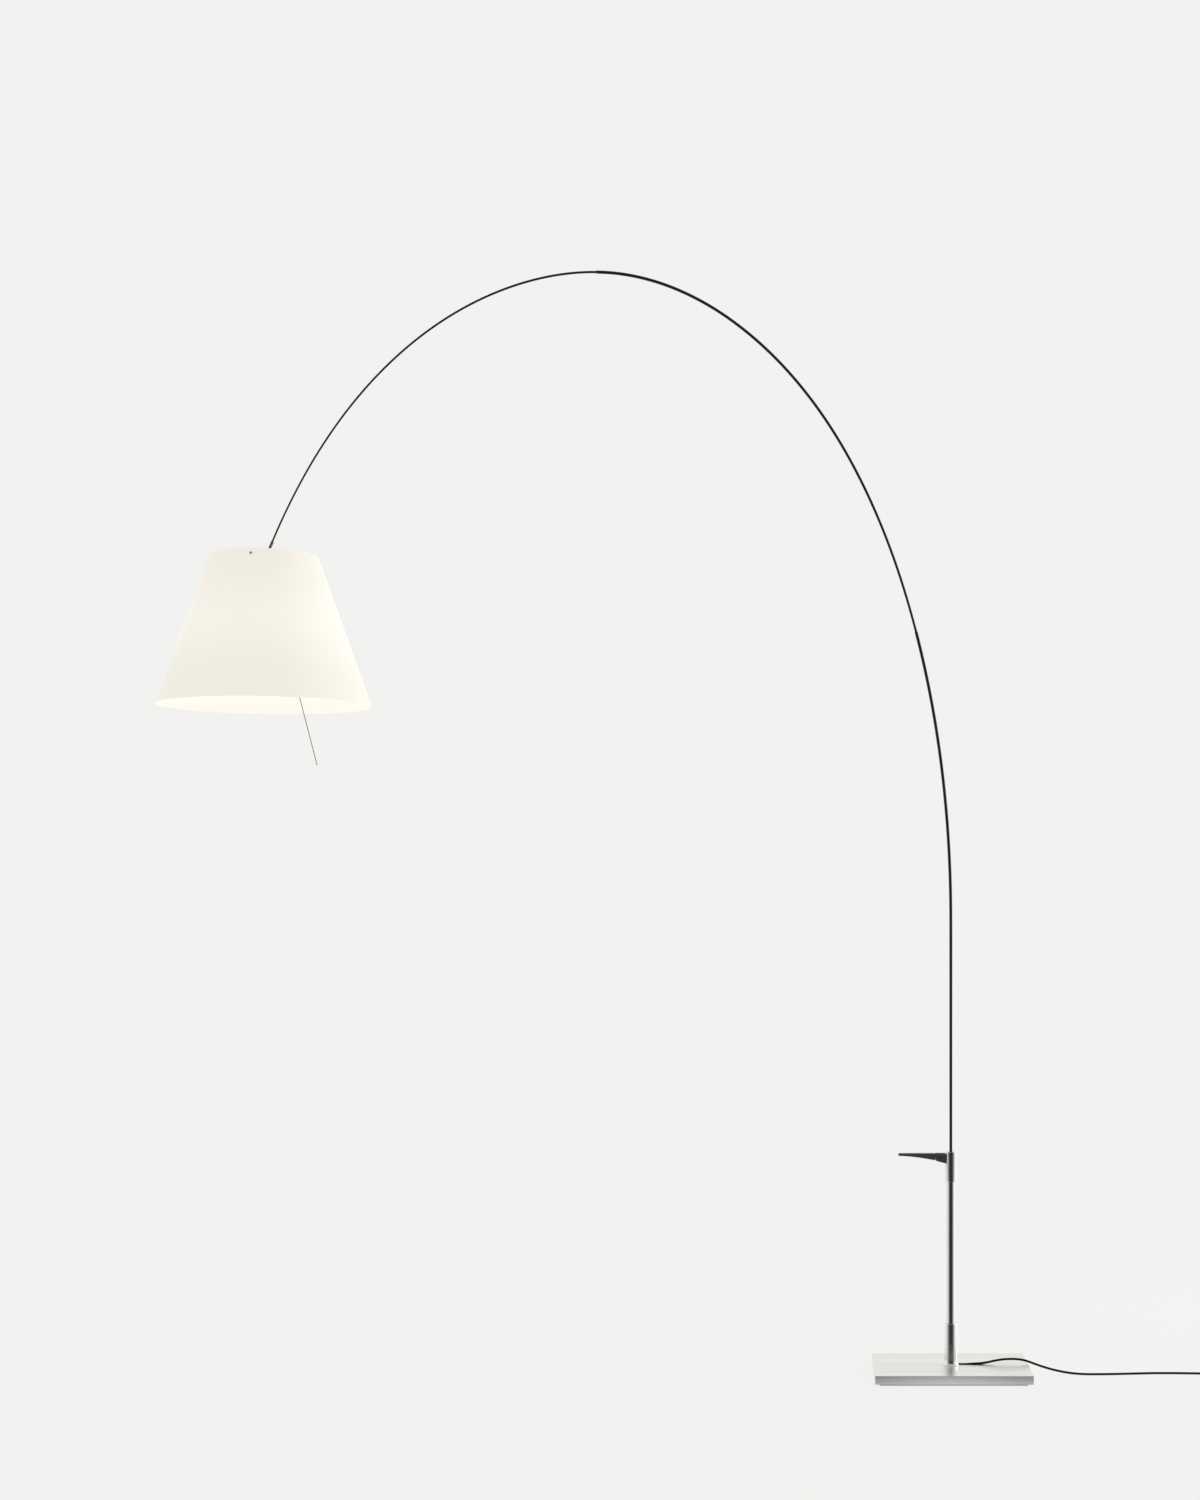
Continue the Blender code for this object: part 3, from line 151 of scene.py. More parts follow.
def with_ceiling(tree, walls):
    """The walls, turning into an even bright ceiling high above."""
    share = ramp_between(tree, steep.outputs["Z"], 0.50, 0.95, 0.0, 1.0)
    return maths(tree, "ADD", walls, maths(tree, "MULTIPLY", share, maths(tree, "SUBTRACT", OVERHEAD, walls)))


room_level, from_camera = studio_level(room, looking, with_ceiling)
glow = room.nodes.new("ShaderNodeBackground")
glow.inputs["Color"].default_value = (1.0, 0.997, 0.985, 1.0)
join(room, room_level, glow.inputs["Strength"])
backdrop = room.nodes.new("ShaderNodeBackground")
backdrop.inputs["Color"].default_value = STUDIO_PALE
choose = room.nodes.new("ShaderNodeMixShader")
join(room, from_camera, choose.inputs["Fac"])
join(room, glow.outputs[0], choose.inputs[1])
join(room, backdrop.outputs[0], choose.inputs[2])
join(room, choose.outputs[0], room.nodes.new("ShaderNodeOutputWorld").inputs["Surface"])

FLOOR_RADIUS = 400.0
SHADOW_SHARE = 0.15           # how much of the floor near the lamp is real paint, which takes shadows
SHADOW_MAKE_UP = 0.42         # makes up for that paint's lower brightness
NEAR_FLOOR = 0.98             # the floor close to the foot, as polished metal sees it


def new_material(name, **values):
    """A material with one Principled BSDF and the given socket values, spaces in their names as underscores."""
    made = bpy.data.materials.new(name)
    made.use_nodes = True
    shader = made.node_tree.nodes["Principled BSDF"]
    for socket, value in values.items():
        shader.inputs[socket.replace("_", " ")].default_value = value
    return made, made.node_tree, shader


angles = np.linspace(0.0, 2 * math.pi, 96, endpoint=False)
rim = np.stack([FLOOR_RADIUS * np.cos(angles), FLOOR_RADIUS * np.sin(angles), np.zeros(96)], axis=1)
floor_mesh = bpy.data.meshes.new("floor")
floor_mesh.from_pydata(rim.tolist(), [], [list(range(96))])
floor = bpy.data.objects.new("floor", floor_mesh)
floor.location.z = -0.0002
bpy.context.scene.collection.objects.link(floor)
floor_paint, tree, shader = new_material("floor_paint", Base_Color=(0.90, 0.90, 0.89, 1.0), Roughness=0.9)
place = tree.nodes.new("ShaderNodeTexCoord").outputs["Object"]
reach = tree.nodes.new("ShaderNodeVectorMath")
reach.operation = "LENGTH"
join(tree, place, reach.inputs[0])
out_from_lamp = reach.outputs["Value"]


def bright_near(tree, walls):
    """The walls' level, turning into the bright near floor under the lamp."""
    share = ramp_between(tree, out_from_lamp, 0.12, 0.40, 1.0, 0.0)
    return maths(tree, "ADD", walls, maths(tree, "MULTIPLY", share, maths(tree, "SUBTRACT", NEAR_FLOOR, walls)))


floor_level, from_camera = studio_level(tree, place, bright_near)
share = ramp_between(tree, out_from_lamp, 0.4, 2.6, SHADOW_SHARE, 0.0)
made_up = maths(tree, "ADD", maths(tree, "MULTIPLY", share, SHADOW_MAKE_UP), 1.0)
even = tree.nodes.new("ShaderNodeEmission")
even.inputs["Color"].default_value = STUDIO_PALE
join(tree, made_up, even.inputs["Strength"])
floor_mix = tree.nodes.new("ShaderNodeMixShader")
join(tree, share, floor_mix.inputs["Fac"])
join(tree, even.outputs[0], floor_mix.inputs[1])
join(tree, shader.outputs[0], floor_mix.inputs[2])
unseen = tree.nodes.new("ShaderNodeEmission")
join(tree, floor_level, unseen.inputs["Strength"])
floor_choose = tree.nodes.new("ShaderNodeMixShader")
join(tree, from_camera, floor_choose.inputs["Fac"])
join(tree, unseen.outputs[0], floor_choose.inputs[1])
join(tree, floor_mix.outputs[0], floor_choose.inputs[2])
join(tree, floor_choose.outputs[0], tree.nodes["Material Output"].inputs["Surface"])
floor_mesh.materials.append(floor_paint)


def softbox(name, place, aim, size, power, colour):
    """A square area light at place, turned towards aim, and not itself seen by the camera."""
    light = bpy.data.lights.new(name, "AREA")
    light.size = size
    light.energy = power
    light.color = colour
    lamp = bpy.data.objects.new(name, light)
    lamp.location = place
    lamp.rotation_euler = (Vector(aim) - Vector(place)).to_track_quat("-Z", "Y").to_euler()
    lamp.visible_camera = False
    bpy.context.scene.collection.objects.link(lamp)


softbox("key_light", (3.2, 1.9, 2.4), (-0.8, 0.0, 1.4), 1.6, 38.0, (1.0, 1.0, 0.99))

# ---- Mains cord. A round black sheathed lead of 5.4 mm. It leaves the gland in the socket, lifts in a low hump
# over the foot's edge, lies on the floor in a slack curve and ends in a tied coil of its spare length and a plug.
CORD_RADIUS = 0.0027
CORD_LIE = 0.0029             # height of its middle where it lies on the floor
CORD_STEP, CORD_SIDES = 0.006, 20
PLATE_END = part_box("base_plate")[1].x
PLATE_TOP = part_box("base_plate")[1].z
CORD_START = (0.0298, 0.0003)
CORD_OVER_PLATE = (
    (0.2732, 0.0015), (0.3716, 0.0027), (0.4699, 0.0050), (0.5683, 0.0090), (0.6776, 0.0120), (0.8033, 0.0129),
    (0.9180, 0.0110), (1.0055, 0.0066),
)
CORD_ON_FLOOR = (
    (0.017, 0.0, 0.0247), (0.039, 0.0, 0.0172), (0.067, -0.001, 0.0098), (0.097, -0.005, 0.0050),
    (0.127, -0.009, 0.0031), (0.162, -0.010, CORD_LIE), (0.202, -0.008, CORD_LIE), (0.247, -0.003, CORD_LIE),
    (0.297, 0.002, CORD_LIE), (0.347, 0.002, CORD_LIE), (0.392, -0.0005, CORD_LIE), (0.422, -0.0022, CORD_LIE),
    (0.448, -0.0030, CORD_LIE), (0.477, -0.0032, CORD_LIE),
)
COIL_CENTRE = (PLATE_END + 0.497, 0.0285)
INNER_TURN, OUTER_TURN = 0.0263, 0.0317
COIL_LAYERS = (0.0042, 0.0096, 0.0150)
COIL_START, COIL_END = -90.0, 1800.0      # degrees, counter-clockwise from +X
COIL_LEAD_IN, COIL_STEP = 60.0, 7.5       # degrees over which the cord lifts into the coil, and between points
TURN_CLIMB, TURN_ACROSS = 80.0, 90.0      # degrees over which a turn climbs, and over which it then moves across
COIL_PLACES = ((170.0, INNER_TURN, COIL_LAYERS[0]), (530.0, INNER_TURN, COIL_LAYERS[1]),
               (890.0, OUTER_TURN, COIL_LAYERS[1]), (1250.0, INNER_TURN, COIL_LAYERS[2]),
               (1610.0, OUTER_TURN, COIL_LAYERS[2]))
TAIL_BEND = 0.0216
TAIL_STRAIGHT = 0.003
TAIL_STARTS = (0.010, 0.022)              # first points past the coil's middle, along +Y
PLUG_Y = 0.083
PLUG_MIDDLE = 0.00715


def smooth_line(points, step):
    """Evenly spaced points of the Catmull-Rom curve through the given points."""
    route = np.array([points[0], *points, points[-1]], dtype=float)
    a, b, c, d = (route[i:len(route) - 3 + i, None] for i in range(4))
    t = np.linspace(0.0, 1.0, 16, endpoint=False)[None, :, None]
    fine = 0.5 * (2 * b + (c - a) * t + (2 * a - 5 * b + 4 * c - d) * t ** 2 + (3 * b - a - 3 * c + d) * t ** 3)
    fine = np.concatenate([fine.reshape(-1, 3), route[-1:]])
    run = np.concatenate([[0.0], np.cumsum(np.linalg.norm(np.diff(fine, axis=0), axis=1))])
    at = np.linspace(0.0, run[-1], max(2, round(run[-1] / step) + 1))
    return np.stack([np.interp(at, run, fine[:, k]) for k in range(3)], axis=1)


def eased(t):
    """Smooth step from 0 to 1: three t squared less two t cubed."""
    t = np.clip(t, 0.0, 1.0)
    return t * t * (3.0 - 2.0 * t)


def coil_line():
    """The coil's turns: a circle whose height and then radius ease to the next place, once a turn.

    The last turn crosses over the one beside it in a half sine of one cord's height.
    """
    angle = np.arange(COIL_START, COIL_END + 0.1, COIL_STEP)
    radius = np.full_like(angle, OUTER_TURN)
    level = np.full_like(angle, COIL_LAYERS[0])
    level -= (COIL_LAYERS[0] - CORD_LIE) * (1.0 - eased((angle - COIL_START) / COIL_LEAD_IN))
    for until, next_radius, next_level in COIL_PLACES:
        across = (angle - until + TURN_ACROSS) / TURN_ACROSS
        radius += (next_radius - radius) * eased(across)
        level += (next_level - level) * eased((angle - until + 2 * TURN_CLIMB) / TURN_CLIMB)
    level += 2 * CORD_RADIUS * np.sin(math.pi * np.clip(across, 0.0, 1.0))
    turned = np.radians(angle)
    return np.stack([COIL_CENTRE[0] + radius * np.cos(turned), COIL_CENTRE[1] + radius * np.sin(turned), level],
                    axis=1)


def tail_line():
    """The free end after the coil: straight along +Y, a quarter turn back to -X, then into the plug's relief."""
    x = COIL_CENTRE[0] + OUTER_TURN
    bend = np.radians(np.linspace(0.0, 90.0, 16))
    arc = np.stack([x - TAIL_BEND * (1 - np.cos(bend)), PLUG_Y - TAIL_BEND * (1 - np.sin(bend))], axis=1)
    flat = np.concatenate([[[x, COIL_CENTRE[1] + past] for past in TAIL_STARTS], arc,
                           [[x - TAIL_BEND - TAIL_STRAIGHT, PLUG_Y]]])
    fall = COIL_LAYERS[2] + (PLUG_MIDDLE - COIL_LAYERS[2]) * eased(np.linspace(0.0, 1.0, len(flat)))
    return np.concatenate([flat, fall[:, None]], axis=1)


def grid_mesh(name, grid, wrap_rows=False, wrap_columns=True):
    """A mesh of quads between the neighbours of a grid of points, with coincident points at its poles merged."""
    rows, columns = grid.shape[:2]
    index = np.arange(rows * columns).reshape(rows, columns)
    if wrap_rows:
        index = np.concatenate([index, index[:1]])
    if wrap_columns:
        index = np.concatenate([index, index[:, :1]], axis=1)
    quads = np.stack([index[:-1, :-1], index[:-1, 1:], index[1:, 1:], index[1:, :-1]], axis=-1).reshape(-1, 4)
    mesh = bpy.data.meshes.new(name)
    mesh.from_pydata(grid.reshape(-1, 3).tolist(), [], quads.tolist())
    tidy = bmesh.new()
    tidy.from_mesh(mesh)
    bmesh.ops.remove_doubles(tidy, verts=tidy.verts, dist=1e-7)
    bmesh.ops.recalc_face_normals(tidy, faces=tidy.faces)
    tidy.to_mesh(mesh)
    tidy.free()
    return mesh


def swept_grid(path, radii, sides, reference=(0.0, 0.0, 1.0)):
    """Circles of the given radii across a path, turned by its direction and a reference, with both ends closed."""
    along = np.gradient(path, axis=0)
    along /= np.linalg.norm(along, axis=1)[:, None]
    side = np.cross(along, np.array(reference))
    side /= np.linalg.norm(side, axis=1)[:, None]
    up = np.cross(side, along)
    turn = np.linspace(0.0, 2 * math.pi, sides, endpoint=False)[None, :, None]
    circles = path[:, None] + radii[:, None, None] * (side[:, None] * np.cos(turn) + up[:, None] * np.sin(turn))
    ends = [np.repeat(path[i][None, None], sides, axis=1) for i in (0, -1)]
    return np.concatenate([ends[0], circles, ends[1]])


def add_piece(name, mesh, finish, body, stands_for, sharp=35.0):
    """Puts a mesh in the scene as a smooth-shaded piece that rides on a body and stands for CAD nodes."""
    mesh.polygons.foreach_set("use_smooth", np.ones(len(mesh.polygons), bool))
    mesh.set_sharp_from_angle(angle=math.radians(sharp))
    mesh.materials.clear()
    mesh.materials.append(finish)
    made = bpy.data.objects.new(name, mesh)
    bpy.context.scene.collection.objects.link(made)
    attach(made, body)
    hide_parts(*stands_for)
    return made


def marks_group():
    """Fine marks of a surface: a stretched noise, as a value between two ends and as a height."""
    group = bpy.data.node_groups.new("surface_marks", "ShaderNodeTree")
    face = group.interface
    face.new_socket("Position", in_out="INPUT", socket_type="NodeSocketVector")
    face.new_socket("Stretch", in_out="INPUT", socket_type="NodeSocketVector")
    for label, value in (("Detail", 3.0), ("Low", 0.0), ("High", 1.0)):
        face.new_socket(label, in_out="INPUT", socket_type="NodeSocketFloat").default_value = value
    face.new_socket("Value", in_out="OUTPUT", socket_type="NodeSocketFloat")
    face.new_socket("Height", in_out="OUTPUT", socket_type="NodeSocketFloat")
    inlet = group.nodes.new("NodeGroupInput")
    outlet = group.nodes.new("NodeGroupOutput")
    stretch = group.nodes.new("ShaderNodeVectorMath")
    stretch.operation = "MULTIPLY"
    join(group, inlet.outputs["Position"], stretch.inputs[0])
    join(group, inlet.outputs["Stretch"], stretch.inputs[1])
    noise = group.nodes.new("ShaderNodeTexNoise")
    noise.inputs["Scale"].default_value = 1.0
    join(group, stretch.outputs[0], noise.inputs["Vector"])
    join(group, inlet.outputs["Detail"], noise.inputs["Detail"])
    spread = group.nodes.new("ShaderNodeMapRange")
    spread.inputs["From Min"].default_value = 0.3
    spread.inputs["From Max"].default_value = 0.7
    join(group, noise.outputs["Fac"], spread.inputs["Value"])
    join(group, inlet.outputs["Low"], spread.inputs["To Min"])
    join(group, inlet.outputs["High"], spread.inputs["To Max"])
    join(group, spread.outputs[0], outlet.inputs["Value"])
    join(group, noise.outputs["Fac"], outlet.inputs["Height"])
    return group


SURFACE_MARKS = marks_group()


def marks(tree, stretch, low=0.0, high=1.0, detail=3.0):
    """The surface_marks group placed in a material, reading the piece's own coordinates."""
    placed = tree.nodes.new("ShaderNodeGroup")
    placed.node_tree = SURFACE_MARKS
    join(tree, tree.nodes.new("ShaderNodeTexCoord").outputs["Object"], placed.inputs["Position"])
    placed.inputs["Stretch"].default_value = stretch
    placed.inputs["Detail"].default_value = detail
    placed.inputs["Low"].default_value = low
    placed.inputs["High"].default_value = high
    return placed


def two_tone(tree, shader, mask, first, second, socket="Base Color"):
    """Mixes two colours by a mask into one of the shader's colour sockets."""
    mix = tree.nodes.new("ShaderNodeMix")
    mix.data_type = "RGBA"
    join(tree, mask, mix.inputs["Factor"])
    mix.inputs["A"].default_value = (*first, 1.0)
    mix.inputs["B"].default_value = (*second, 1.0)
    join(tree, mix.outputs["Result"], shader.inputs[socket])


def relief(tree, shader, depth, height):
    """A Bump node of the given depth in metres, from a height between 0 and 1."""
    bump = tree.nodes.new("ShaderNodeBump")
    bump.inputs["Distance"].default_value = depth
    bump.inputs["Strength"].default_value = 1.0
    join(tree, height, bump.inputs["Height"])
    join(tree, bump.outputs[0], shader.inputs["Normal"])


def plain_finish(name, tones, gloss, stretch, depth, **values):
    """A finish of two close tones and a roughness between two ends, both broken up by the same fine marks."""
    made, tree, shader = new_material(name, **values)
    broken = marks(tree, stretch, 0.0, 1.0)
    two_tone(tree, shader, broken.outputs["Value"], *tones)
    rough = marks(tree, tuple(s * 0.6 for s in stretch), *gloss)
    join(tree, rough.outputs["Value"], shader.inputs["Roughness"])
    relief(tree, shader, depth, broken.outputs["Height"])
    return made


cord_sheath = plain_finish("cord_sheath", ((0.005, 0.005, 0.0055), (0.009, 0.009, 0.0095)), (0.46, 0.60),
                           (900.0, 900.0, 900.0), 0.00003, Specular_IOR_Level=0.15)
start = (CORD_START[0], 0.0, PLATE_TOP + CORD_START[1])
over_plate = [(PLATE_END * share, 0.0, PLATE_TOP + height) for share, height in CORD_OVER_PLATE]
on_floor = [(PLATE_END + past, y, height) for past, y, height in CORD_ON_FLOOR]
cord_path = np.concatenate([smooth_line([start, *over_plate, *on_floor], CORD_STEP), coil_line(), tail_line()])
cord_radii = np.full(len(cord_path), CORD_RADIUS)
cord_mesh = grid_mesh("mains_cord", swept_grid(cord_path, cord_radii, CORD_SIDES))
cord = add_piece("mains_cord", cord_mesh, cord_sheath, "stand", ["cord_run", "cord_coil", "cord_tail"])

# ---- Cord's fittings. A rubber gland in the socket's slot, a rubber strap round the coil, and a flat moulded
# two-pin plug with a ribbed, tapered relief that is moulded on with the sheath.
RELIEF_LENGTH = 0.022
RELIEF_ROOT, RELIEF_TIP = 0.0052, 0.0031
PLUG_ROUND = 0.004


def turned_grid(profile, place, steps=96):
    """A profile of (radius, height) turned about +Z, then put in its place by a matrix."""
    radius, height = np.array(profile, dtype=float).T
    turn = np.linspace(0.0, 2 * math.pi, steps, endpoint=False)
    ones = np.ones_like(turn)
    points = np.stack([radius[:, None] * np.cos(turn), radius[:, None] * np.sin(turn), height[:, None] * ones], -1)
    spin = np.array(place.to_3x3())
    return points @ spin.T + np.array(place.translation)


def block_grid(stations, sides=48):
    """Rounded rectangles across X. A station is (x, middle z, half width, half height, corner radius)."""
    x, middle, wide, high, corner = (c[:, None] for c in np.array(stations, dtype=float).T)
    turn = np.linspace(0.0, 2 * math.pi, sides, endpoint=False) + math.pi / sides
    y = np.sign(np.cos(turn)) * (wide - corner) + corner * np.cos(turn)
    z = np.sign(np.sin(turn)) * (high - corner) + corner * np.sin(turn)
    return np.stack([x + 0.0 * y, y, z + middle], axis=-1)


def closed_block(stations, sides=48):
    """A block_grid whose two ends close in a middle point."""
    grid = block_grid(stations, sides)
    ends = [np.repeat([[[x, 0.0, middle]]], sides, axis=1) for x, middle, *_ in (stations[0], stations[-1])]
    return np.concatenate([ends[0], grid, ends[1]])


def paint(names, made):
    """Gives each named CAD node one material."""
    for name in names:
        nodes[name].data.materials.clear()
        nodes[name].data.materials.append(made)


gland_rubber = plain_finish("gland_rubber", ((0.014, 0.014, 0.014), (0.022, 0.022, 0.022)), (0.60, 0.75),
                            (700.0, 700.0, 700.0), 0.00004)
tie_rubber = plain_finish("tie_rubber", ((0.016, 0.016, 0.016), (0.026, 0.026, 0.026)), (0.58, 0.74),
                          (300.0, 1500.0, 300.0), 0.00004)
plug_shell = plain_finish("plug_shell", ((0.012, 0.012, 0.013), (0.018, 0.018, 0.019)), (0.40, 0.52),
                          (1400.0, 1400.0, 1400.0), 0.00003)
pin_brass = plain_finish("pin_brass", ((0.66, 0.50, 0.26), (0.74, 0.58, 0.32)), (0.22, 0.36),
                         (200.0, 1500.0, 1500.0), 0.00001, Metallic=1.0)
paint(["cable_gland"], gland_rubber)
paint(["plug_pin_left", "plug_pin_right"], pin_brass)

STRAP_THICKNESS = 0.0011
STRAP_CORNER = 0.0045
tie_low, tie_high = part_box("cord_tie")


def strap_grid(low, high):
    """A strap: a rounded rectangle about Y, swept with a flat section that is a superellipse."""
    middle, half = (low + high) / 2, (high - low) / 2
    turn = np.linspace(0.0, 2 * math.pi, 64, endpoint=False)[:, None] + math.pi / 64
    section = np.linspace(0.0, 2 * math.pi, 24, endpoint=False)[None]
    out = STRAP_THICKNESS / 2 * np.sign(np.cos(section)) * np.abs(np.cos(section)) ** 0.5
    across = half.y * np.sign(np.sin(section)) * np.abs(np.sin(section)) ** 0.5
    reach = STRAP_CORNER + out
    x = np.sign(np.cos(turn)) * (half.x - STRAP_THICKNESS / 2 - STRAP_CORNER) + reach * np.cos(turn)
    z = np.sign(np.sin(turn)) * (half.z - STRAP_THICKNESS / 2 - STRAP_CORNER) + reach * np.sin(turn)
    return np.stack([middle.x + x, middle.y + across + 0.0 * turn, middle.z + z], axis=-1)


cord_strap = add_piece("cord_strap", grid_mesh("cord_strap", strap_grid(tie_low, tie_high), wrap_rows=True),
                       tie_rubber, "stand", ["cord_tie"], 60.0)

PLUG_WAIST = 0.0022           # how far the plug's sides draw in at its middle
PLUG_CORNER, PLUG_END_CORNER = 0.0032, 0.0018
plug_low, plug_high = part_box("plug_body")
plug_half = (plug_high - plug_low) / 2
plug_mid = (plug_high + plug_low) / 2
quarter = np.radians(np.linspace(0.0, 90.0, 7))
nose = np.stack([plug_low.x + PLUG_ROUND * (1.0 - np.cos(quarter)), PLUG_ROUND * (1.0 - np.sin(quarter))], axis=1)
tail = np.stack([plug_low.x + plug_high.x - nose[::-1, 0], nose[::-1, 1]], axis=1)
at, inset = np.concatenate([nose, tail]).T
waist = PLUG_WAIST * np.sin(math.pi * (at - plug_low.x) / (2 * plug_half.x)) ** 2
corner = np.where(inset < PLUG_ROUND / 2, PLUG_CORNER, PLUG_END_CORNER)
middle = np.full_like(at, plug_mid.z)
body_grid = closed_block(np.stack([at, middle, plug_half.y - inset - waist, plug_half.z - inset, corner], axis=1))
body_grid[:, :, 1] += plug_mid.y
plug_body = add_piece("plug_moulding", grid_mesh("plug_moulding", body_grid), plug_shell, "stand", ["plug_body"],
                      50.0)

RIB_COUNT = 6
RIB_DEPTH = 0.0007
RIB_SHAPE = ((0.12, 0.0), (0.30, 0.0), (0.42, RIB_DEPTH), (0.88, RIB_DEPTH))   # share of a rib, and its groove
relief_low, relief_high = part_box("plug_relief")
relief_mid = (relief_low + relief_high) / 2
ribs = [(0.0, 0.0), (RELIEF_ROOT, 0.0)]
for rib in range(RIB_COUNT):
    for share, dip in RIB_SHAPE:
        t = (rib + share) / RIB_COUNT
        ribs.append((RELIEF_ROOT + (RELIEF_TIP - RELIEF_ROOT) * t - dip * (1.0 - 0.6 * t), RELIEF_LENGTH * t))
ribs += [(RELIEF_TIP, RELIEF_LENGTH), (0.0, RELIEF_LENGTH)]
relief_place = Matrix.Translation((relief_low.x, relief_mid.y, relief_mid.z))
relief_place = relief_place @ Matrix.Rotation(math.pi / 2, 4, "Y")
plug_relief = add_piece("plug_strain_relief", grid_mesh("plug_strain_relief", turned_grid(ribs, relief_place, 32)),
                        plug_shell, "stand", ["plug_relief"], 25.0)

# ---- Foot. A thick steel plate, nickel plated and brushed along its length, on a thinner black rubber pad that
# keeps it off the floor, with the bolt and washer that hold the socket from below.
plate_nickel, tree, shader = new_material("plate_nickel", Metallic=1.0)
fine = marks(tree, (6.0, 900.0, 900.0), 0.30, 0.46, 4.0)
bands = marks(tree, (2.0, 60.0, 60.0), 0.0, 1.0, 5.0)
join(tree, fine.outputs["Value"], shader.inputs["Roughness"])
two_tone(tree, shader, bands.outputs["Value"], (0.72, 0.72, 0.705), (0.80, 0.80, 0.785))
relief(tree, shader, 0.00002, fine.outputs["Height"])
paint(["base_plate"], plate_nickel)
pad_rubber = plain_finish("pad_rubber", ((0.016, 0.016, 0.016), (0.026, 0.026, 0.026)), (0.68, 0.82),
                          (500.0, 500.0, 500.0), 0.00006)
paint(["base_pad"], pad_rubber)
turned_steel = plain_finish("turned_steel", ((0.50, 0.50, 0.51), (0.60, 0.60, 0.60)), (0.24, 0.38),
                            (300.0, 300.0, 2400.0), 0.00001, Metallic=1.0)
paint(["socket_bolt", "socket_washer", "socket_grub_screw"], turned_steel)

# ---- Socket and pole. The socket is turned from solid aluminium, flared at its foot and slotted for the gland;
# the pole is a drawn tube set in it, and both are anodised to the same satin.
SOCKET_RADIUS, SOCKET_FOOT = 0.0155, 0.020
FLARE_HEIGHT = 0.012
TUBE_RADIUS, TUBE_BORE = 0.011, 0.0095
EDGE, TUBE_EDGE = 0.0007, 0.0004
CLEARANCE = 0.0003
SLOT_HALF, SLOT_TOP = 0.0036, 0.0145
SLOT_CORNER = 0.0034
SLOT_START, SLOT_END = 0.004, 0.023
BOLT_BORE, BOLT_BORE_TOP = 0.0053, 0.0097       # radius, and height above the socket's foot
LEAD_BORE, LEAD_BORE_TOP = 0.0088, 0.0177
GRUB_BORE, GRUB_START, BORE_REACH = 0.0023, 0.0095, 0.010


def rounded_edge(radius, height, toward_radius, toward_height, size, count=4):
    """Points of a quarter-round edge at a corner, from the side at toward_height to the one at toward_radius."""
    t = np.radians(np.linspace(0.0, 90.0, count))
    side = 1.0 if toward_radius > radius else -1.0
    rise = 1.0 if toward_height > height else -1.0
    return [(radius + side * size * (1 - math.cos(a)), height + rise * size * (1 - math.sin(a))) for a in t]


def cut_away(mesh, cutters):
    """The mesh with the cutters' closed meshes taken out of it."""
    target = bpy.data.objects.new("target", mesh)
    bpy.context.scene.collection.objects.link(target)
    spare = []
    for cutter_mesh in cutters:
        cutter = bpy.data.objects.new("cutter", cutter_mesh)
        bpy.context.scene.collection.objects.link(cutter)
        taken = target.modifiers.new("cut", "BOOLEAN")
        taken.operation = "DIFFERENCE"
        taken.solver = "EXACT"
        taken.object = cutter
        spare.append(cutter)
    bpy.context.view_layer.update()
    result = bpy.data.meshes.new_from_object(target.evaluated_get(bpy.context.evaluated_depsgraph_get()))
    for used in (target, *spare):
        bpy.data.objects.remove(used, do_unlink=True)
    result.name = mesh.name
    return result


def rod_mesh(radius, length, place, steps=32):
    """A closed straight rod from its place along its local +Z, as a cutter."""
    profile = [(0.0, 0.0), (radius, 0.0), (radius, length), (0.0, length)]
    return grid_mesh("rod", turned_grid(profile, place, steps))


satin, tree, shader = new_material("satin_anodised", Metallic=1.0)
turning = marks(tree, (40.0, 40.0, 5000.0), 0.20, 0.30, 2.0)
join(tree, turning.outputs["Value"], shader.inputs["Roughness"])
clouds = marks(tree, (120.0, 120.0, 30.0), 0.0, 1.0, 3.0)
two_tone(tree, shader, clouds.outputs["Value"], (0.70, 0.70, 0.69), (0.80, 0.80, 0.79))
relief(tree, shader, 0.000012, turning.outputs["Height"])

socket_low, socket_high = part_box("base_socket")
base, top = socket_low.z, socket_high.z
flare = [(SOCKET_RADIUS + (SOCKET_FOOT - SOCKET_RADIUS) * (1.0 - t) ** 2, base + FLARE_HEIGHT * t)
         for t in np.linspace(1.0, 0.0, 10)]
bore = TUBE_RADIUS + CLEARANCE
lead_bore_top = base + LEAD_BORE_TOP
socket_profile = [*reversed(rounded_edge(SOCKET_RADIUS, top, 0.0, base, EDGE)), *flare, (BOLT_BORE, base),
                  (BOLT_BORE, base + BOLT_BORE_TOP), (LEAD_BORE, base + BOLT_BORE_TOP), (LEAD_BORE, lead_bore_top),
                  (bore, lead_bore_top), (bore, top)]
slot_grid = closed_block([(x, base - 0.0005, SLOT_HALF, SLOT_TOP, SLOT_CORNER) for x in (SLOT_START, SLOT_END)])
slot_mesh = grid_mesh("slot", slot_grid)
back = Matrix.Rotation(-math.pi / 2, 4, "X")
grub_low, grub_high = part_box("socket_grub_screw")
grub_place = Matrix.Translation((0.0, GRUB_START, (grub_low.z + grub_high.z) / 2)) @ back
grub_hole = rod_mesh(GRUB_BORE, BORE_REACH, grub_place)
socket_mesh = cut_away(grid_mesh("socket", turned_grid(socket_profile, Matrix.Identity(4)), wrap_rows=True),
                       [slot_mesh, grub_hole])
add_piece("socket_turning", socket_mesh, satin, "stand", ["base_socket"], 28.0)

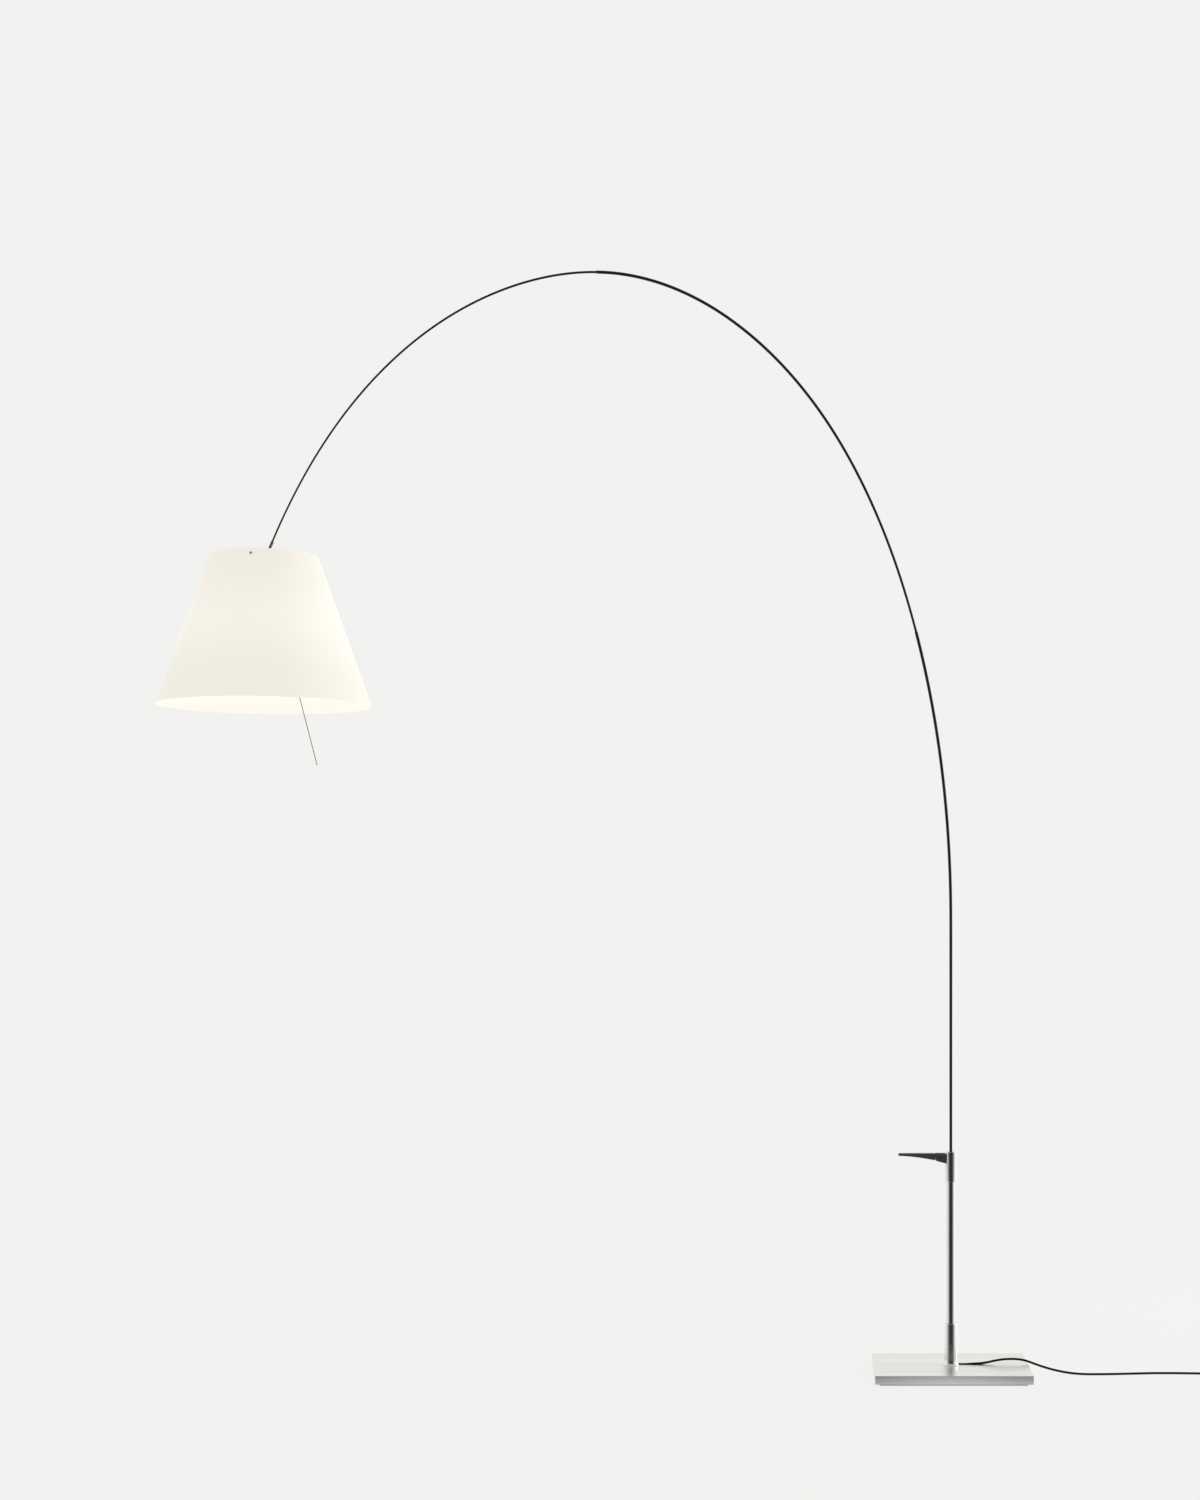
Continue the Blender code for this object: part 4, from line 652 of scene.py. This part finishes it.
tube_low, tube_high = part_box("lower_tube")
tube_profile = [*reversed(rounded_edge(TUBE_RADIUS, tube_high.z, 0.0, 0.0, TUBE_EDGE)), (TUBE_RADIUS, tube_low.z),
                (TUBE_BORE, tube_low.z), (TUBE_BORE, tube_high.z)]
drawn, tree, shader = new_material("drawn_anodised", Metallic=1.0)
drawing = marks(tree, (1500.0, 1500.0, 12.0), 0.17, 0.27, 2.0)
join(tree, drawing.outputs["Value"], shader.inputs["Roughness"])
two_tone(tree, shader, drawing.outputs["Value"], (0.70, 0.70, 0.69), (0.78, 0.78, 0.77))
relief(tree, shader, 0.000008, drawing.outputs["Height"])
tube_mesh = grid_mesh("pole_tube", turned_grid(tube_profile, Matrix.Identity(4)), wrap_rows=True)
add_piece("pole_tube", tube_mesh, drawn, "stand", ["lower_tube"], 28.0)

# ---- Collar. A turned aluminium sleeve fixed over the pole's top with a grub screw. A nylon bush in its mouth
# guides the rod, and a hole in its side lets the brake reach the rod.
COLLAR_RADIUS = 0.0148
PLUNGER_BORE, PLUNGER_START, PLUNGER_REACH = 0.0033, 0.004, 0.014
collar_low, collar_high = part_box("clamp_collar")
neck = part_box("collar_bush")[1].x
bush_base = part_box("collar_bush")[0].z - CLEARANCE
over_tube = tube_high.z + CLEARANCE
collar_profile = [*reversed(rounded_edge(COLLAR_RADIUS, collar_high.z, 0.0, 0.0, EDGE)),
                  *rounded_edge(COLLAR_RADIUS, collar_low.z, 0.0, 1.0, EDGE), (bore, collar_low.z),
                  (bore, over_tube), (neck, over_tube), (neck, bush_base), (neck + CLEARANCE, bush_base),
                  (neck + CLEARANCE, collar_high.z)]
grub_low, grub_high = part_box("collar_grub_screw")
pin_low, pin_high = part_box("lever_pin")
pivot = Vector(((pin_low.x + pin_high.x) / 2, 0.0, (pin_low.z + pin_high.z) / 2))
outward = Matrix.Rotation(-math.pi / 2, 4, "Y")
grub_place = Matrix.Translation((0.0, GRUB_START, (grub_low.z + grub_high.z) / 2)) @ back
plunger_place = Matrix.Translation((-PLUNGER_START, 0.0, pivot.z)) @ outward
collar_cuts = [rod_mesh(GRUB_BORE, BORE_REACH, grub_place), rod_mesh(PLUNGER_BORE, PLUNGER_REACH, plunger_place)]
collar_mesh = grid_mesh("collar", turned_grid(collar_profile, Matrix.Identity(4)), wrap_rows=True)
collar_mesh = cut_away(collar_mesh, collar_cuts)
add_piece("collar_turning", collar_mesh, satin, "stand", ["clamp_collar"], 28.0)
natural_nylon = plain_finish("natural_nylon", ((0.70, 0.69, 0.63), (0.76, 0.75, 0.70)), (0.45, 0.60),
                             (260.0, 260.0, 260.0), 0.00002, Subsurface_Weight=0.1)
paint(["collar_bush", "glide_bush"], natural_nylon)
pad_brass = plain_finish("pad_brass", ((0.64, 0.47, 0.20), (0.74, 0.55, 0.25)), (0.26, 0.40),
                         (800.0, 800.0, 800.0), 0.00001, Metallic=1.0)
paint(["brake_pad", "lampholder_thread"], pad_brass)
paint(["collar_grub_screw"], turned_steel)

# ---- Lever clamp. A die-cast fork screwed to the collar carries a long flat lever on a pivot pin; both are
# powder coated in graphite. The steel cam inside presses the brake against the rod.
LEVER_REACH = 0.124
LEVER_TIP = 0.0056
LEVER_FLARE, FLARE_POWER = 0.0102, 1.7
FORK_NOSE, FORK_TOP, FORK_HALF = 0.0133, 0.009, 0.011
LEVER_GAP = 0.0012
LEVER_NARROWING = 0.28
CASTING_EDGE = 0.0011
FORK_EDGE = 0.0005
TIP_ROUND, TIP_DROP = 0.002, 0.0016
TONGUE_HALF_WIDTH, TONGUE_HALF_HEIGHT, TONGUE_CORNER = 0.0055, 0.0038, 0.0004


def bevelled_copy(name, edge, segments=3):
    """A copy of a CAD node's mesh, merged and with its flat faces joined, then given rounded edges."""
    mesh = nodes[name].data.copy()
    tidy = bmesh.new()
    tidy.from_mesh(mesh)
    bmesh.ops.remove_doubles(tidy, verts=tidy.verts, dist=1e-6)
    bmesh.ops.dissolve_limit(tidy, angle_limit=math.radians(1.0), verts=tidy.verts, edges=tidy.edges)
    sharp = [e for e in tidy.edges if len(e.link_faces) == 2 and e.calc_face_angle(0.0) > math.radians(40.0)]
    bmesh.ops.bevel(tidy, geom=sharp, offset=edge, segments=segments, affect="EDGES", profile=0.5,
                    clamp_overlap=True)
    bmesh.ops.triangulate(tidy, faces=[f for f in tidy.faces if len(f.verts) > 4])
    tidy.to_mesh(mesh)
    tidy.free()
    return mesh


graphite = plain_finish("graphite_coat", ((0.056, 0.057, 0.059), (0.072, 0.073, 0.075)), (0.38, 0.50),
                        (1500.0, 1500.0, 1500.0), 0.00005, Specular_IOR_Level=0.45)
paint(["lever_pin"], graphite)
paint(["bracket_screw_front", "bracket_screw_back", "lever_pin_clip", "lever_cam", "lever_roll_pin",
       "brake_plunger"], turned_steel)
fork_mesh = bevelled_copy("lever_bracket", FORK_EDGE)
add_piece("fork_casting", fork_mesh, graphite, "stand", ["lever_bracket"], 30.0)

root_radius = FORK_NOSE + LEVER_GAP
lever_top = pivot.z + FORK_TOP
root_reach = -pivot.x + root_radius
tip_start = LEVER_REACH - TIP_ROUND
reach = np.concatenate([np.linspace(root_reach, tip_start, 40),
                        tip_start + TIP_ROUND * np.sin(np.radians(np.linspace(15, 90, 6)))])
past = ((reach - tip_start) / TIP_ROUND).clip(0.0, 1.0)
drop = (1.0 - np.sqrt(np.clip(1.0 - past ** 2, 0.0, 1.0))) * TIP_DROP
to_root = (LEVER_REACH - reach).clip(0.0) / (LEVER_REACH - root_reach)
depth = LEVER_TIP + LEVER_FLARE * to_root ** FLARE_POWER
half_width = FORK_HALF * (1.0 - LEVER_NARROWING * (reach + pivot.x) / (LEVER_REACH + pivot.x)) - drop
half_depth = depth / 2 - drop
lever_grid = block_grid(np.stack([-reach, lever_top - depth / 2, half_width, half_depth,
                                  np.minimum(CASTING_EDGE, half_depth * 0.6)], axis=1))
rise = np.clip(lever_grid[:, :, 2] - pivot.z, -root_radius * 0.98, root_radius * 0.98)
hollow = root_radius - np.sqrt(root_radius ** 2 - rise ** 2)
lever_grid[:, :, 0] += to_root[:, None] ** 2 * hollow
lever_ends = [lever_grid[i].mean(axis=0)[None, None].repeat(lever_grid.shape[1], axis=1) for i in (0, -1)]
lever_ends[0][:, :, 0] = pivot.x - root_radius
lever_mesh = grid_mesh("lever", np.concatenate([lever_ends[0], lever_grid, lever_ends[1]]))
tongue_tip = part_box("lever_cam")[0].x - CLEARANCE
tongue_grid = closed_block([(x, pivot.z, TONGUE_HALF_WIDTH, TONGUE_HALF_HEIGHT, TONGUE_CORNER)
                            for x in (tongue_tip, pivot.x)])
lever_mesh = cut_away(lever_mesh, [grid_mesh("tongue", tongue_grid)])
add_piece("lever_casting", lever_mesh, graphite, "lever", ["lever_handle"], 40.0)

# ---- Rods. Three tapered fibre rods, each plugged into the one below and lacquered in dark graphite. The lowest
# slides and turns in the pole, and together they bend in one growing curve out to the shade.
BEND_LENGTHS = (0.50, 0.60, 1.22, 1.60, 2.05, 2.42, 2.60, 3.05, 3.55)
BEND_DEGREES_PER_METRE = (0.0, 18.5, 24.0, 38.0, 69.0, 122.0, 87.5, 57.5, 29.0)
ROD_BELOW, WIRE_AT = 0.322, 3.5586
LOWER_JOINT, UPPER_JOINT, SPIGOT = 1.235, 2.453, 0.045
ROD_END = WIRE_AT - 0.010
ROD_CHAMFER, CHAMFER_SHARE = 0.0005, 0.12       # depth, and its share of a step of the line
ROD_STEP, ROD_SIDES = 0.008, 28


def rod_line(start, stop):
    """Points of the rods' line between two lengths from the collar: its heading is the sum of its bend so far."""
    length = np.arange(0.0, WIRE_AT + 0.001, 0.001)
    bend = np.radians(np.interp(length, BEND_LENGTHS, BEND_DEGREES_PER_METRE))
    heading = math.pi / 2 + np.concatenate([[0.0], np.cumsum((bend[1:] + bend[:-1]) / 2 * 0.001)])
    middle = (heading[1:] + heading[:-1]) / 2
    x = np.concatenate([[0.0, 0.0], np.cumsum(np.cos(middle) * 0.001)])
    z = collar_high.z + np.concatenate([[-1.0, 0.0], np.cumsum(np.sin(middle) * 0.001)])
    length = np.concatenate([[-1.0], length])
    at = np.linspace(start, stop, round((stop - start) / ROD_STEP) + 1)
    return at, np.stack([np.interp(at, length, x), 0.0 * at, np.interp(at, length, z)], axis=1)


def rod_piece(name, node, start, stop, radii, made):
    """A tapered rod along the line, its mouth closed in a small chamfer over the next rod."""
    at, path = rod_line(start, stop)
    radius = radii[0] + (radii[1] - radii[0]) * (at - start) / (stop - start)
    radius[0] -= ROD_CHAMFER
    radius[-1] -= ROD_CHAMFER
    last = path[-1] + (path[-2] - path[-1]) * CHAMFER_SHARE
    first = path[0] + (path[1] - path[0]) * CHAMFER_SHARE
    path = np.concatenate([path[:1], first[None], path[1:-1], last[None], path[-1:]])
    radius = np.concatenate([radius[:1], radius[1:2], radius[1:-1], radius[-2:-1], radius[-1:]])
    mesh = grid_mesh(name, swept_grid(path, radius, ROD_SIDES, (0.0, 1.0, 0.0)))
    add_piece(name, mesh, made, "mast", [node], 30.0)


rod_lacquer, tree, shader = new_material("rod_lacquer", Specular_IOR_Level=0.35)
fibres = marks(tree, (700.0, 700.0, 60.0), 0.30, 0.42, 3.0)
join(tree, fibres.outputs["Value"], shader.inputs["Roughness"])
tone = marks(tree, (30.0, 30.0, 8.0), 0.0, 1.0, 2.0)
two_tone(tree, shader, tone.outputs["Value"], (0.010, 0.010, 0.0105), (0.016, 0.016, 0.0165))
relief(tree, shader, 0.00001, fibres.outputs["Height"])
rod_piece("rod_lower", "mast_lower", -ROD_BELOW, LOWER_JOINT, (0.0033, 0.0038), rod_lacquer)
rod_piece("rod_middle", "mast_middle", LOWER_JOINT - SPIGOT, UPPER_JOINT, (0.0029, 0.0038), rod_lacquer)
rod_piece("rod_upper", "mast_upper", UPPER_JOINT - SPIGOT, ROD_END, (0.0028, 0.0021), rod_lacquer)
lead_sheath = plain_finish("lead_sheath", ((0.010, 0.010, 0.011), (0.017, 0.017, 0.018)), (0.44, 0.58),
                           (1100.0, 1100.0, 1100.0), 0.00002)
paint(["mast_cable", "inner_lead", "slack_coil"], lead_sheath)
paint(["mast_foot_ring", "mast_top_ring"], turned_steel)

# ---- Head. A small turned block takes the rod's ferrule at a slant and holds the two cross wires that carry the
# shade, each with a bright cap outside it.
head_satin = plain_finish("head_satin", ((0.62, 0.62, 0.61), (0.72, 0.72, 0.71)), (0.24, 0.34),
                          (60.0, 60.0, 3000.0), 0.00001, Metallic=1.0)
paint(["head_block"], head_satin)
# The ferrule's dark tone is its own; the brown warmth in it is painted light, the shade's warm glow on its tip.
ferrule_dark_with_painted_glow = plain_finish("ferrule_dark_with_painted_glow", ((0.12, 0.105, 0.09), (0.17, 0.15, 0.13)), (0.34, 0.46),
                              (1500.0, 1500.0, 200.0), 0.00001, Metallic=0.7)
paint(["tip_ferrule"], ferrule_dark_with_painted_glow)
bright_wire = plain_finish("bright_wire", ((0.42, 0.42, 0.42), (0.52, 0.52, 0.51)), (0.22, 0.34),
                           (1800.0, 60.0, 1800.0), 0.00001, Metallic=1.0)
paint(["shade_spoke_front", "shade_spoke_back"], bright_wire)
for end, side in (("front", -1.0), ("back", 1.0)):
    cap_low, cap_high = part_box(f"spoke_cap_{end}")
    radius, length = (cap_high.x - cap_low.x) / 2, cap_high.y - cap_low.y
    root = cap_high.y if side < 0 else cap_low.y
    cap_place = Matrix.Translation(((cap_low.x + cap_high.x) / 2, root, (cap_low.z + cap_high.z) / 2))
    cap_place = cap_place @ Matrix.Rotation(-side * math.pi / 2, 4, "X")
    dome = [(radius * math.cos(a), length * (0.5 + 0.5 * math.sin(a))) for a in np.radians(np.linspace(0, 90, 8))]
    cap_mesh = grid_mesh(f"cap_{end}", turned_grid([(0.0, 0.0), (radius, 0.0), *dome], cap_place, 32))
    add_piece(f"wire_cap_{end}", cap_mesh, bright_wire, "mast", [f"spoke_cap_{end}"], 40.0)

# ---- Dimmer and lampholder. White moulded housings clamped under the head by a threaded tube: the dimmer with
# its board, the cover, and the lampholder. The touch rod comes out of the cover and points down past the hem.
moulded_white = plain_finish("moulded_white", ((0.80, 0.79, 0.75), (0.85, 0.84, 0.81)), (0.34, 0.46),
                             (900.0, 900.0, 900.0), 0.00003)
paint(["dimmer_cup", "dimmer_cover", "lampholder_shell", "sensor_bush"], moulded_white)
board_green = plain_finish("board_green", ((0.020, 0.12, 0.05), (0.035, 0.17, 0.075)), (0.30, 0.45),
                           (900.0, 900.0, 900.0), 0.00003)
paint(["dimmer_board"], board_green)
touch_steel = plain_finish("touch_steel", ((0.20, 0.19, 0.175), (0.27, 0.26, 0.24)), (0.30, 0.40),
                           (1800.0, 1800.0, 80.0), 0.00001, Metallic=1.0)
paint(["sensor_rod"], touch_steel)
paint(["holder_nipple", "bulb_cap"], turned_steel)

# ---- Bulb. A frosted globe lamp, alight, in the lampholder.
BULB_NECK_RADIUS, BULB_RADIUS = 0.013, 0.030
BALL_UP_TO = 38.0             # degrees above the ball's middle, where it turns into the neck
NECK_FLARE, NECK_HEIGHT = 0.0006, 0.012
bulb_low, bulb_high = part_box("bulb_glass")
bulb_axis = (bulb_low.x + bulb_high.x) / 2
ball = bulb_low.z + BULB_RADIUS
bulb_profile = [(0.0, ball - BULB_RADIUS)]
bulb_profile += [(BULB_RADIUS * math.cos(a), ball + BULB_RADIUS * math.sin(a))
                 for a in np.radians(np.linspace(-90.0, BALL_UP_TO, 28))[1:]]
shoulder = np.array(bulb_profile[-1])
neck_end = np.array([BULB_NECK_RADIUS, bulb_high.z])
bend_at = np.array([BULB_NECK_RADIUS + NECK_FLARE, bulb_high.z - NECK_HEIGHT])
for t in np.linspace(0.1, 1.0, 12):
    point = (1 - t) ** 2 * shoulder + 2 * t * (1 - t) * bend_at + t ** 2 * neck_end
    bulb_profile.append((float(point[0]), float(point[1])))
bulb_profile.append((0.0, bulb_high.z))
frosted, tree, shader = new_material("frosted_bulb", Roughness=0.35, Emission_Strength=1.7)
frost = marks(tree, (900.0, 900.0, 900.0), 0.0, 1.0)
two_tone(tree, shader, frost.outputs["Value"], (0.92, 0.90, 0.86), (0.96, 0.94, 0.90))
two_tone(tree, shader, frost.outputs["Value"], (1.0, 0.90, 0.74), (1.0, 0.93, 0.80), "Emission Color")
relief(tree, shader, 0.00002, frost.outputs["Height"])
bulb_place = Matrix.Translation((bulb_axis, 0.0, 0.0))
add_piece("bulb_globe", grid_mesh("bulb_globe", turned_grid(bulb_profile, bulb_place, 64)), frosted, "mast",
          ["bulb_glass"], 40.0)

# ---- Shade. A thin cone of warm white translucent sheet, open above and below, hung on the two cross wires.
# Its outer skin glows softly from the bulb and its inner skin, which faces the bulb, glows more.
SHADE_TOP_RADIUS, SHADE_FOOT_RADIUS, SHADE_WALL = 0.125, 0.250, 0.0012
SEAM_HALF_ANGLE, SEAM_EASE = 2.2, 0.8           # degrees either side of the back, and of its step up
SEAM_RISE = 0.0006
SHADE_STEPS = 256
SHADE_GLOW, BULB_GLOW = 0.36, 0.05              # the whole skin's, and what the bulb adds beside it
BULB_GLOW_REACH = 0.15
shade_low, shade_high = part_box("shade")


def cone_skin(offset):
    """The cone's skin: the radius grows evenly from the top rim to the foot, and stands out over the back seam."""
    share = np.linspace(0.0, 1.0, 41)[:, None]
    turn = np.linspace(0.0, 2 * math.pi, SHADE_STEPS, endpoint=False)[None]
    from_back = np.degrees(np.abs((turn - math.pi / 2 + math.pi) % (2 * math.pi) - math.pi))
    seam = SEAM_RISE * eased((SEAM_HALF_ANGLE + SEAM_EASE - from_back) / SEAM_EASE)
    radius = SHADE_TOP_RADIUS + (SHADE_FOOT_RADIUS - SHADE_TOP_RADIUS) * share + offset + seam
    height = shade_high.z + (shade_low.z - shade_high.z) * share
    return np.stack([bulb_axis + radius * np.cos(turn), radius * np.sin(turn), height + 0.0 * turn], axis=-1)


outer, inner = cone_skin(0.0), cone_skin(-SHADE_WALL)
shade_mesh = grid_mesh("shade_sheet", np.concatenate([outer, inner[::-1]]), wrap_rows=True)
outer_skin, tree, shader = new_material("shade_outer", Roughness=0.6, Specular_IOR_Level=0.2)
silk = marks(tree, (500.0, 500.0, 60.0), 0.0, 1.0, 4.0)
clouds = marks(tree, (9.0, 9.0, 6.0), 0.0, 1.0, 2.0)
two_tone(tree, shader, silk.outputs["Value"], (0.90, 0.875, 0.815), (0.93, 0.905, 0.85))
two_tone(tree, shader, clouds.outputs["Value"], (1.0, 0.95, 0.83), (1.0, 0.965, 0.87), "Emission Color")
level = tree.nodes.new("ShaderNodeSeparateXYZ")
join(tree, tree.nodes.new("ShaderNodeTexCoord").outputs["Object"], level.inputs[0])
from_bulb = maths(tree, "ABSOLUTE", maths(tree, "SUBTRACT", level.outputs["Z"], ball))
glow_now = ramp_between(tree, from_bulb, 0.0, BULB_GLOW_REACH, SHADE_GLOW + BULB_GLOW, SHADE_GLOW)
join(tree, glow_now, shader.inputs["Emission Strength"])
relief(tree, shader, 0.00002, silk.outputs["Height"])
inner_skin, tree, shader = new_material("shade_inner", Roughness=0.6, Emission_Strength=0.33)
silk = marks(tree, (500.0, 500.0, 60.0), 0.0, 1.0, 4.0)
two_tone(tree, shader, silk.outputs["Value"], (0.92, 0.90, 0.86), (0.94, 0.92, 0.88))
two_tone(tree, shader, silk.outputs["Value"], (1.0, 0.93, 0.82), (1.0, 0.94, 0.85), "Emission Color")
relief(tree, shader, 0.00002, silk.outputs["Height"])
add_piece("shade_sheet", shade_mesh, outer_skin, "shade", ["shade"], 40.0)
shade_mesh.materials.append(inner_skin)
centres = np.empty(len(shade_mesh.polygons) * 3)
shade_mesh.polygons.foreach_get("center", centres)
normals = np.empty(len(shade_mesh.polygons) * 3)
shade_mesh.polygons.foreach_get("normal", normals)
centres, normals = centres.reshape(-1, 3), normals.reshape(-1, 3)
inward = (centres[:, 0] - bulb_axis) * normals[:, 0] + centres[:, 1] * normals[:, 1] < 0.0
shade_mesh.polygons.foreach_set("material_index", inward.astype(np.int32))
shade_mesh.update()
